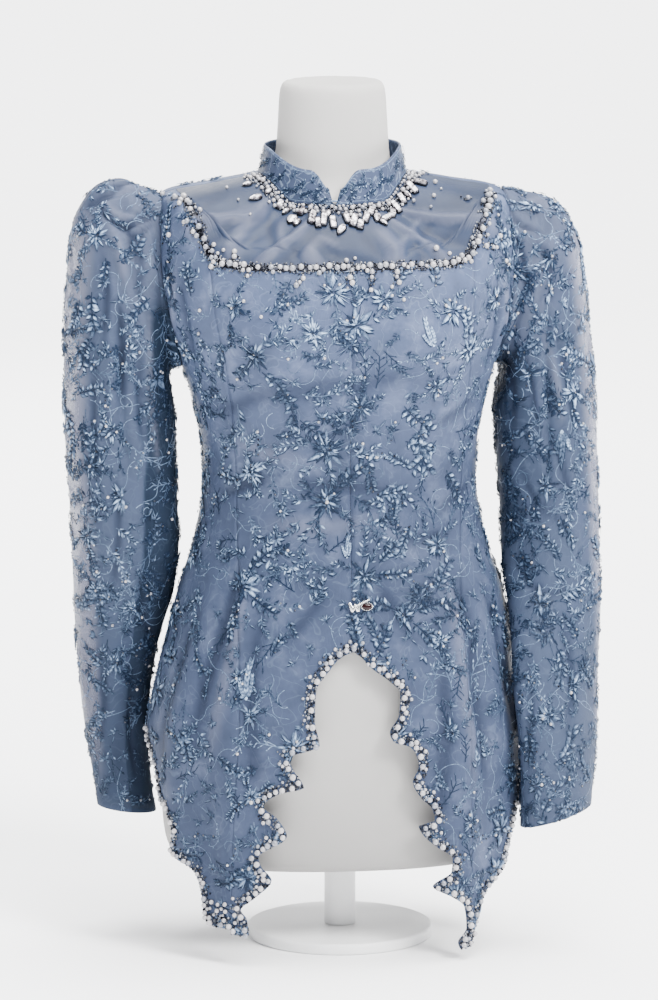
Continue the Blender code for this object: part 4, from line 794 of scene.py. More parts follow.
def cloth_panel(node, levels, edges, columns, lift=None, split=None):
    """A piece of the body between two edges that are given as angles at each level."""
    low, high = (edge(levels)[:, None] for edge in edges)
    high = np.maximum(high, low)
    place = np.linspace(0, 1, columns + 1)[None, :]
    angle = low + (high - low) * place
    if split:
        middle = split(levels)[:, None]
        angle = np.where(place < 0.5, low + (middle - low) * place * 2,
                         middle + (high - middle) * (place * 2 - 1))
    level = np.broadcast_to(levels[:, None], angle.shape)
    if lift:
        level = lift(level, angle)
    points = cloth_point(level, angle)
    front = np.cos(angle) > 0
    pressed = strokes_in_view(VIEW_FOLDS, node, points) * front
    points = points - torso_normal(level, angle) * np.minimum(pressed, YOKE_PRESS)[..., None]
    faces, row, col = grid_faces(*angle.shape)
    uv = np.stack([angle[row, col] * FLAT, level[row, col]], axis=-1)
    # the crease attribute drives painted shade in the creases and folds and painted highlight on their
    # ridges
    depth = (crease_depth(level, angle) + pressed) / DEEP_CREASE
    finish = "yoke" if node == "yoke_front" else "cloth"
    if finish == "cloth":
        # painted shade about the dark knots, added to the crease shading
        depth = depth + knots_in_view(points) * front
    for skin in ("torso", "yoke" if finish == "yoke" else "body"):
        SKINS[skin].add(points, faces)
    cloth_sheet(node, points, faces, uv, finish, bpy.context.scene.kebaya_sizes.cloth_wall,
                "yoke_cloth" if finish == "yoke" else "cloth",
                {"crease": np.clip(depth, -1, 1)})


def front_pieces(side):
    """Centre front and side front of one side."""
    arch_levels = [row[0] for row in ARCH_EDGE[side]]
    tail_levels = [row[0] for row in TAIL_EDGE[side]]
    top = YOKE_LEVEL - climb_of(YOKE_LEVEL, 0, SEAM_GAP / 2)
    cloth_panel("front_center_" + WORDS[side], fine_levels(arch_levels[0], top, arch_levels),
                (arch_edge(side), princess_edge(side, -side))[::side], CENTRE_COLUMNS)
    cloth_panel("front_side_" + WORDS[side], fine_levels(tail_levels[0], YOKE_SIDE_TOP, tail_levels),
                (princess_edge(side, side), tail_edge(side))[::side], SIDE_COLUMNS)


def yoke_piece():
    first = YOKE_LEVEL + climb_of(YOKE_LEVEL, 0, SEAM_GAP / 2)
    last = NECK_LEVEL - climb_of(NECK_LEVEL, 0, COLLAR_CLOTH / 2 - COLLAR_TUCK)
    cloth_panel("yoke_front", fine_levels(first, last, (SHOULDER_END_OF_YOKE,), YOKE_ROW),
                (princess_edge(-1, 1), princess_edge(1, -1)), YOKE_COLUMNS, split=centre_front)


def back_piece(side):
    last = NECK_LEVEL - climb_of(NECK_LEVEL, math.pi, COLLAR_CLOTH / 2 - COLLAR_TUCK)

    def side_seam(level):
        reach = math.pi / 2 + armhole_reach(level, ARMHOLE_BACK)
        return side * (reach + turn_of(level, reach, SEAM_GAP / 2))

    def centre_seam(level):
        return side * (math.pi - turn_of(level, math.pi, SEAM_GAP / 2))

    cloth_panel("back_" + WORDS[side], fine_levels(SIDE_HEM, last), (side_seam, centre_seam)[::side],
                BACK_COLUMNS, lift=scalloped)


# ---------------------------------------------------------------- sleeves and collar
def sleeve_rings(side):
    """Rings from the armhole to the wrist; each starts at its outer point and runs forwards."""
    turn = np.linspace(0, 2 * math.pi, SLEEVE_ROUND, endpoint=False)
    widest = np.where(np.sin(turn) > 0, ARMHOLE_FRONT, ARMHOLE_BACK)
    angle = side * (math.pi / 2 - widest * np.sin(turn))
    level = armhole_level(turn)
    seam = torso(level, angle)
    seam = seam + unit(seam.mean(axis=0) - seam) * (SHEER / 2 + SEAM_GAP * 2)
    rings = [seam, seam + torso_normal(level, angle) * SLEEVE_RISE]
    from_top = np.abs((turn + math.pi) % (2 * math.pi) - math.pi)
    fade = 1 - smoothstep(0.6 * GATHERED_ARC, GATHERED_ARC, from_top)
    waves = -np.cos(GATHER_WAVES * turn + 0.5 * np.sin(3 * turn)) * (0.85 + 0.35 * np.sin(5 * turn))
    for *points, half_depth, gather in SLEEVES[side]:
        outer, inner = np.array(points).reshape(2, 3) * (side, 1, 1)
        long_half = (outer - inner) / 2
        axis = unit(long_half)
        forward = unit(np.array([0, -1, 0]) + axis * axis[1])
        radial = (long_half * np.cos(turn)[:, None]
                  + forward * half_depth * np.sin(turn)[:, None])
        rings.append((outer + inner) / 2 + radial
                     + unit(radial) * (gather * waves * fade)[:, None])
    return np.array(rings), turn


def places_in_view(points):
    """Where points are seen in the view."""
    target, right, above, back = (np.array(vector) for vector in view_frame())
    away = points - (target + back * VIEW_DISTANCE)
    scale = VIEW_DISTANCE / (-(away @ back) * VIEW_UNIT)
    return np.stack([VIEW_WIDTH / 2 + (away @ right) * scale,
                     VIEW_HEIGHT / 2 - (away @ above) * scale], axis=-1)


def knots_in_view(points):
    """Painted shade of the body's cloth about the dark knots of the named sprays."""
    seen = places_in_view(points)
    shade = np.zeros(points.shape[:2])
    for kind, x, y, size, _, tone in SPRAYS["body"]:
        if kind in KNOTTED and tone < KNOT_TONE:
            off = np.hypot(seen[..., 0] - x, seen[..., 1] - y)
            shade = np.maximum(shade, (1 - tone) * np.exp(-(off / (KNOT_REACH * size)) ** 2))
    return KNOT_SHADE * shade


def strokes_in_view(table, name, points, power=2):
    """Sum at each point of a cloth of strokes that are named by their places in the view."""
    seen = places_in_view(points)
    share = np.linspace(0, 1, 25)[:, None]
    total = np.zeros(points.shape[:2])
    for *places, amount, width in table.get(name, ()):
        start, middle, end = np.array(places, float).reshape(3, 2)
        bend = 2 * middle - (start + end) / 2
        line = start * (1 - share) ** 2 + bend * (2 * share * (1 - share)) + end * share ** 2
        off = np.linalg.norm(seen[..., None, :] - line, axis=-1)
        fade = np.sin(math.pi * share[np.argmin(off, axis=-1), 0].clip(0.04, 0.96)) ** 0.6
        total += amount * fade * np.exp(-(off.min(axis=-1) / width) ** power)
    return total


def sleeve_piece(side):
    word = WORDS[side]
    rings, turn = sleeve_rings(side)
    gaps = np.linalg.norm(np.diff(rings.mean(axis=1), axis=0), axis=1)
    gaps = np.maximum(gaps, np.linalg.norm(np.diff(rings, axis=0), axis=2).mean(axis=1))
    knots = np.concatenate([[0], np.cumsum(gaps)])
    count = len(rings) - 1
    index = np.linspace(0, count, count * SLEEVE_STEPS + 1)
    at = np.interp(index, np.arange(count + 1), knots)
    points = curve(knots, rings, at)
    ring_number = index[:, None] - 1
    degrees = np.degrees(turn)[None, :]
    dent = np.zeros(points.shape[:2])
    for ring, middle, depth, over, spread, slant in SLEEVE_FOLDS[side]:
        u = (ring_number - ring) / over
        middle = middle + slant * (ring_number - ring)
        v = ((degrees - middle + 180) % 360 - 180) / spread
        dent += depth * np.exp(-u * u - v * v)
    draw = random.Random(SEED + side).uniform
    for _ in range(SMALL_FOLDS):
        u = (ring_number - draw(4, count - 1)) / draw(0.3, 0.9)
        v = ((degrees - draw(0, 360) - draw(-14, 14) * u + 180) % 360
             - 180) / draw(7, 18)
        dent += draw(-0.0007, 0.0016) * np.exp(-u * u - v * v)
    front = smoothstep(-0.1, 0.25, np.sin(np.radians(degrees)))
    pressed = strokes_in_view(VIEW_FOLDS, "sleeve_" + word, points) * front
    pressed *= smoothstep(-0.9, -0.3, ring_number)
    dent += pressed
    hem = smoothstep(at[-1] - CUFF_HEM - 0.0015, at[-1] - CUFF_HEM, at)[:, None]
    dent = dent * (1 - 0.8 * hem) - CUFF_STEP * hem
    # painted shade in the pressed folds and painted highlight on their ridges
    crease = np.clip(pressed / DEEP_CREASE, -1, 1) * (1 - hem)
    outward = unit(points - points.mean(axis=1, keepdims=True))
    points = points - outward * dent[..., None]

    from_outer = np.abs((degrees + 180) % 360 - 180)
    middle_part = smoothstep(3.5, 6, ring_number) * smoothstep(count - 1.5, count - 3.5, ring_number)
    sheer = (1 - smoothstep(*SHEER_ARC, from_outer)) * middle_part
    sheer = np.maximum(sheer, UPPER_SHEER * smoothstep(6, 3, ring_number)) * (1 - hem)
    # painted shade: on the inner side of each sleeve, over its lower part, and along the strokes named
    # in the view
    rings_of, *columns = zip(*SHADES[side])
    shade_from, inside, all_over = (np.interp(ring_number, rings_of, column) for column in columns)
    shade = np.maximum(inside * smoothstep(0, SHADE_EDGE, from_outer - shade_from), all_over)
    shade = np.maximum(shade, strokes_in_view(VIEW_SHADES, "sleeve_" + word, points, 5) * front)
    faces, row, col = grid_faces(*points.shape[:2], closed=True, flip=side < 0)
    uv = np.stack([col / SLEEVE_ROUND * 2 * math.pi * SLEEVE_FLAT, -at[row]], axis=-1)
    SKINS["sleeve_" + word].add(points, faces)
    cloth_sheet("sleeve_" + word, points, faces, uv, "sleeve", bpy.context.scene.kebaya_sizes.sheer_wall,
                "sleeve_cloth",
                {"sheer": sheer, "shade": shade, "crease": crease,
                 "hem": np.broadcast_to(hem, sheer.shape)})


def collar_points(side, across, up):
    """Points of one collar half: across runs from the notch to the centre back, up from 0 to 1."""
    neck = ring_at(NECK_LEVEL)
    radius = neck["half_width"]
    first = NOTCH_ANGLE + side * (NOTCH_HALF_BASE + (NOTCH_HALF_TOP - NOTCH_HALF_BASE) * up) / radius
    angle = first + (side * (math.pi - SEAM_GAP / radius) - first) * across
    base = ring_point(neck, angle)
    corner = 1 - smoothstep(0, COLLAR_CORNER, np.abs(angle - first))
    frontness = 1 - smoothstep(*COLLAR_FRONT_ARC, np.abs(angle))
    top = COLLAR_TOP_SIDE + (COLLAR_TOP_FRONT - COLLAR_TOP_SIDE) * frontness
    height = (top - base[..., 2]) * (1 - COLLAR_CORNER_DROP * corner ** 2)
    inward = np.stack([neck["x_mid"] - base[..., 0], neck["y_side"] - base[..., 1],
                       np.zeros(base.shape[:-1])], axis=-1)
    rise = np.zeros(base.shape)
    rise[..., 2] = height * up + COLLAR_SEAT
    return base + unit(inward) * (COLLAR_LEAN * up)[..., None] + rise


def collar_piece(side):
    across = (np.linspace(0, 1, COLLAR_COLUMNS + 1) ** COLLAR_EASE)[None, :]
    up = np.linspace(0, 1, COLLAR_ROWS + 1)[:, None]
    across, up = np.broadcast_arrays(across, up)
    points = collar_points(side, across, up)
    faces, row, col = grid_faces(*points.shape[:2], flip=side < 0)
    uv = np.stack([across[row, col], up[row, col]], axis=-1) * COLLAR_FLAT
    SKINS["collar"].add(points, faces)
    cloth_sheet("collar_" + WORDS[side], points, faces, uv, "collar",
                bpy.context.scene.kebaya_sizes.collar_wall, "yoke_cloth")


# ---------------------------------------------------------------- embroidery
class Walker:
    """A place on a skin with a heading, which steps along it like a needle."""

    def __init__(self, skin, point, degrees, up=Vector((0, 0, 1))):
        self.skin = skin
        self.point, self.normal, _ = skin.nearest(point)
        across = up.cross(self.normal)
        if across.length < 0.01:
            across = Vector((1, 0, 0))
        across.normalize()
        upward = self.normal.cross(across)
        turn = math.radians(degrees)
        self.heading = across * math.cos(turn) + upward * math.sin(turn)

    def turned(self, degrees):
        other = Walker.__new__(Walker)
        other.skin, other.point, other.normal = self.skin, self.point.copy(), self.normal.copy()
        other.heading = self.direction(degrees)
        return other

    def direction(self, degrees):
        turn = math.radians(degrees)
        side = self.normal.cross(self.heading)
        return self.heading * math.cos(turn) + side * math.sin(turn)

    def step(self, distance, bend=0):
        """Moves ahead and bends; false where it would leave the cloth."""
        goal = self.point + self.heading * distance
        place, normal, away = self.skin.nearest(goal)
        if away > OFF_CLOTH or normal.dot(self.normal) < SHARPEST:
            return False
        heading = self.direction(bend)
        self.point, self.normal = place, normal
        self.heading = (heading - normal * heading.dot(normal)).normalized()
        return True


class Needlework:
    """Leaves, cords and pearls sewn on one skin, gathered up to make a few joined meshes."""

    def __init__(self, skin, lift, rng, inner=0):
        self.skin, self.lift, self.rng, self.inner = skin, lift, rng, inner
        self.calm = 0
        self.leaves, self.shadows, self.cords, self.pearls, self.beads = [], [], [], [], []

    def pick(self, share):
        """Tone of one leaf: pale for this share of them, the others middle or dark."""
        draw = self.rng.random()
        tones = PALE if draw < share else MIDDLE if draw < share + MIDDLE_SHARE else DARK
        return self.rng.uniform(*tones)

    def leaf(self, at, degrees, length, width, share, ahead=0, layer=0):
        """A satin-stitched leaf that starts at a walker, dropped where it would pass an edge."""
        heading = at.direction(degrees)
        start = at.point + heading * ahead
        tip = start + heading * length
        if self.skin.nearest(tip)[2] > OFF_CLOTH + length * length / LEAF_SAG:
            return
        side = at.normal.cross(heading)
        tone = self.pick(share)
        # a painted shadow: a dark leaf a little lower and behind each pale one
        if tone > SHADOW_FROM:
            under = start + Vector((0, 0, -SHADOW_DROP)) - heading * (0.08 * length)
            dark = SHADOW_TONE + (CALM_TONE - SHADOW_TONE) * self.calm
            self.shadows.append((under, heading, side, 1.16 * length, 1.36 * width, dark, 2 * layer))
        self.leaves.append((start, heading, side, length, width, self.dimmed(tone, at),
                            2 * layer + 1))

    def dimmed(self, tone, at):
        """The tone, with painted shade on the inner side of a sleeve, and calmer low down on all the
        cloth.
        """
        dark = min(max((at.normal.x * self.inner - DIM_FROM) / DIM_SPAN, 0), 1)
        low = min(max((CALM_LEVEL - at.point.z) / CALM_SPAN, 0), 1)
        tone = CALM_TONE + (tone - CALM_TONE) * (1 - CALM_SHARE * low) * (1 - self.calm)
        return tone * (1 - DIM_SHARE * dark)

    def cord(self, walkers, width, tone):
        if len(walkers) > 1:
            self.cords.append((walkers, width, tone))

    def stem(self, at, count, length, bend, width, tone):
        """Walks along a stem stitch by stitch, and lays its cord at its end."""
        line = [mark(at)]
        for k in range(count):
            if not at.step(length, bend()):
                break
            line.append(mark(at))
            yield k
        self.cord(line, width, tone)

    def sew(self, store, rise, at, radius, ahead, degrees):
        place, normal, away = self.skin.nearest(at.point + at.direction(degrees) * ahead)
        if away < OFF_CLOTH:
            store.append((place + normal * (self.lift + rise * radius), radius))

    def pearl(self, at, radius, ahead=0, degrees=0):
        self.sew(self.pearls, PEARL_RISE, at, radius, ahead, degrees)

    def bead(self, at, radius, ahead=0, degrees=0):
        self.sew(self.beads, BEAD_RISE, at, radius, ahead, degrees)

    def leaf_arrays(self, leaves, outline, faces):
        """Points, faces and tones of leaves that all have one outline."""
        outline = np.array(outline)
        frames = np.array([[list(v) for v in row[:3]] for row in leaves])
        lengths, widths, tones, layers = np.array([row[3:] for row in leaves]).T[..., None]
        along = frames[:, None, 1] * (outline[:, 0] * lengths)[..., None]
        across = frames[:, None, 2] * (outline[:, 1] * widths / 2)[..., None]
        points = frames[:, None, 0] + along + across
        heights = (self.lift + layers * LAYER
                   + (outline[:, 2] * widths * LEAF_CROWN - LEAF_ROOT))
        laid = self.skin.lay(points.reshape(-1, 3), heights.ravel())
        joined = np.array(faces)[None] + np.arange(len(points))[:, None, None] * len(outline)
        # painted highlight on each leaf's ridge and painted shade at its outline
        painted_tones = tones * (LEAF_PAINTED_LIGHT[0] + LEAF_PAINTED_LIGHT[1] * outline[:, 2])
        return laid, joined.reshape(-1, 3), np.clip(painted_tones, 0, 1).ravel()

    def leaf_mesh(self, name, keep=lambda point: True):
        """The leaves whose starts are kept, with the painted shadows under the pale ones."""
        leaves = [row for row in self.leaves if keep(row[0])]
        shadows = [row for row in self.shadows if keep(row[0])]
        points, faces, tones = self.leaf_arrays(leaves, LEAF_OUTLINE, LEAF_FACES)
        if shadows:
            more = self.leaf_arrays(shadows, SHADOW_OUTLINE, SHADOW_FACES)
            faces = np.concatenate([faces, more[1] + len(points)])
            points = np.concatenate([points, more[0]])
            tones = np.concatenate([tones, more[2]])
        return new_mesh(name, points, faces, attributes={"tone": tones})

    def cord_mesh(self, name):
        points, heights, tones, faces = [], [], [], []
        for walkers, width, tone in self.cords:
            first = len(points)
            for place, normal, heading in walkers:
                side = normal.cross(heading) * (width / 2)
                points += [place + side, place - side]
                heights += [self.lift + CORD_HEIGHT * width] * 2
                tones += [tone] * 2
            for k in range(len(walkers) - 1):
                a = first + 2 * k
                faces.append((a, a + 1, a + 3, a + 2))
        laid = self.skin.lay(points, heights)
        return new_mesh(name, laid, np.array(faces), attributes={"tone": tones})


def mark(at):
    return at.point.copy(), at.normal.copy(), at.heading.copy()


def fern(work, at, size, share, pairs=7):
    """A bent stem with plump leaves in pairs, the last ones smaller and paler."""
    rng, draw = work.rng, work.rng.uniform
    bend = draw(-8, 8)
    for k in work.stem(at, pairs, 0.0031 * size, lambda: bend + draw(-5, 5), 0.0009,
                       0.15 + 0.4 * share):
        along = k / max(pairs - 1, 1)
        for hand in (-1, 1):
            if rng.random() < 0.12:
                continue
            length = size * (0.0062 - 0.0022 * along) * draw(0.65, 1.3)
            work.leaf(at, hand * (52 - 16 * along + draw(-18, 18)), length,
                      draw(0.24, 0.44) * length, share + 0.2 * along, draw(0, 0.001),
                      rng.randrange(2))
            if rng.random() < 0.6:
                work.leaf(at, hand * draw(14, 66), 1.2 * length, 0.0008, -1, layer=2)
    work.leaf(at, draw(-12, 12), 0.0056 * size, 0.0023 * size, share + 0.3)


def twig(work, at, size, share, nodes=8):
    """A thin wandering stem with single leaves by turns, a pearl at its tip."""
    rng, draw = work.rng, work.rng.uniform
    bend = draw(-11, 11)
    hand = rng.choice((-1, 1))
    for _ in work.stem(at, nodes, 0.004 * size, lambda: bend + draw(-8, 8), 0.0008,
                       0.2 + 0.5 * share):
        hand = -hand
        length = size * draw(0.0044, 0.0072)
        work.leaf(at, hand * draw(30, 65), length, 0.42 * length, share)
        if rng.random() < 0.35:
            work.leaf(at, -hand * draw(30, 65), 0.7 * length, 0.28 * length, share)
        if rng.random() < 0.22:
            work.bead(at, 0.001, 0.003 * size, -hand * 60)
    if rng.random() < 0.5:
        work.pearl(at, 0.0014 * math.sqrt(size), 0.002)
    else:
        work.leaf(at, 0, 0.0055 * size, 0.0024 * size, share)


def antler(work, at, size, share, nodes=8):
    """A thin stem that forks into bare prongs."""
    rng, draw = work.rng, work.rng.uniform
    for k in work.stem(at, nodes, 0.0036 * size, lambda: draw(-10, 10), 0.0011, 0.55 * share):
        prong = at.turned((1 if k % 2 else -1) * draw(26, 52))
        line = [mark(prong)]
        for _ in range(rng.randint(1, 4)):
            if prong.step(0.0024 * size, draw(-9, 9)):
                line.append(mark(prong))
        work.cord(line, 0.0009, 0.65 * share)
        work.leaf(prong, 0, 0.0036 * size, 0.0016 * size, share)


def berries(work, at, size, share, nodes=7):
    """A stem thick with rounded leaves, dark ones half under pale ones."""
    draw = work.rng.uniform
    bend = draw(-7, 7)
    for _ in work.stem(at, nodes, 0.0043 * size, lambda: bend + draw(-7, 7), 0.0011, 0.1):
        for hand in (-1, 1):
            length = size * draw(0.0044, 0.0072)
            turned = hand * draw(30, 82)
            work.leaf(at, turned, length, draw(0.46, 0.6) * length, share, 0.0014, 1)
            work.leaf(at, turned + hand * 24, 0.9 * length, 0.5 * length, -1)
        if work.rng.random() < 0.25:
            work.bead(at, 0.0011, 0.0028, draw(-180, 180))


def wander(work, at, size, share):
    """A faint thin stem that bends one way and then the other."""
    rng = work.rng
    stem = [mark(at)]
    bend = 0
    for k in range(24):
        if k % 5 == 0:
            bend = rng.uniform(-17, 17)
        if not at.step(0.0026 * size, bend):
            break
        stem.append(mark(at))
        if rng.random() < 0.13:
            work.leaf(at, rng.choice((-48, 48)), 0.0038, 0.0016, share)
    work.cord(stem, 0.0006, 0.52)


def curl(work, at, size, share):
    """A tendril that winds into itself."""
    bend = work.rng.choice((-1, 1)) * work.rng.uniform(13, 19)
    stem = [mark(at)]
    for k in range(int(15 * size)):
        if not at.step(0.0022, bend * (0.5 + 0.09 * k)):
            break
        stem.append(mark(at))
    work.cord(stem, 0.0007, 0.3 + 0.4 * share)


def blossom(work, at, size, share, petals=6):
    """A small flower of a few broad petals about a bead."""
    for k in range(petals):
        turn = 360 * k / petals + work.rng.uniform(-12, 12)
        length = 0.0056 * size * work.rng.uniform(0.8, 1.2)
        work.leaf(at, turn, length, 0.5 * length, share, ahead=0.0008, layer=k % 2)
    work.bead(at, 0.0012 * size)


def needles(work, at, size, share, count):
    """Loose straight stitches that stick out every way."""
    draw = work.rng.uniform
    for _ in range(count):
        length = size * draw(0.006, 0.0135)
        work.leaf(at, draw(0, 360), length, draw(0.0006, 0.0011), share,
                  size * draw(0.001, 0.006), work.rng.randrange(3))


def tuft(work, at, size, share):
    """A few leaves fanned out of one stitch, with loose needles about them."""
    draw = work.rng.uniform
    for k in range(5):
        length = size * draw(0.0045, 0.0085)
        work.leaf(at, -64 + 32 * k + draw(-12, 12), length, draw(0.26, 0.42) * length,
                  share, layer=k % 2)
    work.leaf(at, draw(130, 230), 0.0042 * size, 0.002 * size, -1)
    needles(work, at, 0.8 * size, share + 0.2, 4)


def heart(work, at, size, share, leaves=34):
    """A dark knot of short leaves that lie over each other every way."""
    draw = work.rng.uniform
    for k in range(leaves):
        place = at.turned(draw(0, 360))
        if not place.step(size * 0.0085 * math.sqrt(work.rng.random()) + 0.0001):
            continue
        length = size * draw(0.0034, 0.0068)
        work.leaf(place, draw(-80, 80), length, draw(0.28, 0.44) * length,
                  share + 0.2 if k % 5 == 4 else -1, -0.3 * length, k % 3)
    needles(work, at, 1.1 * size, -1, 8)
    needles(work, at, size, share + 0.3, 12)


def star(work, at, size, share):
    """A starburst flower: a dark knotted heart in narrow petals, with sprigs about it."""
    rng, draw = work.rng, work.rng.uniform
    turn = draw(0, 40)
    outer = rng.randint(15, 19)
    for k in range(outer):
        length = size * draw(0.0055, 0.015)
        work.leaf(at, turn + 360 * k / outer + draw(-14, 14), length,
                  draw(0.16, 0.28) * length + 0.0006, share + 0.15, 0.0026 * size, rng.randrange(2))
    heart(work, at, 0.85 * size, share)
    for k in range(7):
        length = size * draw(0.0035, 0.0075)
        work.leaf(at, draw(0, 360), length, 0.36 * length, share + 0.25, draw(0, 0.003), 2)
    if rng.random() < 0.4:
        work.pearl(at, 0.0015 * size)
    for _ in range(4):
        work.bead(at, 0.001, size * draw(0.001, 0.006), draw(0, 360))
    first = draw(-30, 30)
    for k, away in enumerate((0, 88, 178, 262)):
        if k == 3 and rng.random() < 0.4:
            continue
        arm = at.turned(first + away + draw(-22, 22))
        if arm.step(0.01 * size, draw(-10, 10)):
            kind = (fern, berries, fern, antler)[rng.randrange(4)]
            kind(work, arm, size * draw(0.75, 1), share + (0.22, 0, 0.26, 0.1)[k],
                 rng.randint(5, 9))
            if rng.random() < 0.35:
                work.pearl(arm, 0.0016, 0.004)


def icy(work, at, size, share):
    """A cluster of broad pale leaves over dark ones, with pearls."""
    rng, draw = work.rng, work.rng.uniform
    heart(work, at, 0.9 * size, share, 20)
    for k in range(15):
        length = size * draw(0.005, 0.0125)
        work.leaf(at, -150 + 24 * k + draw(-18, 18), length, draw(0.26, 0.4) * length,
                  share, draw(0.0005, 0.006), 1 + k % 2)
    for k in range(3):
        work.pearl(at, draw(0.0013, 0.0019), size * draw(0.004, 0.012), draw(0, 360))
    for away in (-60, 20, 130):
        arm = at.turned(away + draw(-20, 20))
        if arm.step(0.011 * size, draw(-10, 10)):
            fern(work, arm, size * 0.85, share - 0.2, rng.randint(4, 8))


def branch(work, at, size, share):
    """A long bent stem whose side twigs are small ferns."""
    rng, draw = work.rng, work.rng.uniform
    bend = rng.choice((-1, 1)) * draw(2, 6)
    hand = 1
    for k in work.stem(at, 14, 0.0036 * size, lambda: bend, 0.0011, 0.15 + 0.4 * share):
        hand = -hand
        if k % 3 == 1:
            fern(work, at.turned(hand * draw(35, 55)), size * 0.78, share + draw(-0.2, 0.2), 4)
        else:
            for turn in (hand * 50, -hand * 56):
                length = size * draw(0.004, 0.0066)
                work.leaf(at, turn + draw(-12, 12), length, 0.42 * length, share,
                          layer=rng.randrange(2))
    fern(work, at, size * 0.8, share + 0.15, 4)


def long_leaf(work, at, size, share):
    """Three long upright leaves from one foot."""
    for degrees, length in ((-26, 0.015), (4, 0.023), (30, 0.013)):
        arm = at.turned(degrees)
        bend = 4 if degrees < 0 else -4
        for _ in work.stem(arm, 6, length * size / 6, lambda: bend, 0.0014, 0.9):
            for hand in (-1, 1):
                work.leaf(arm, hand * 17, 0.26 * length * size, 0.0024 * size, share, layer=1)


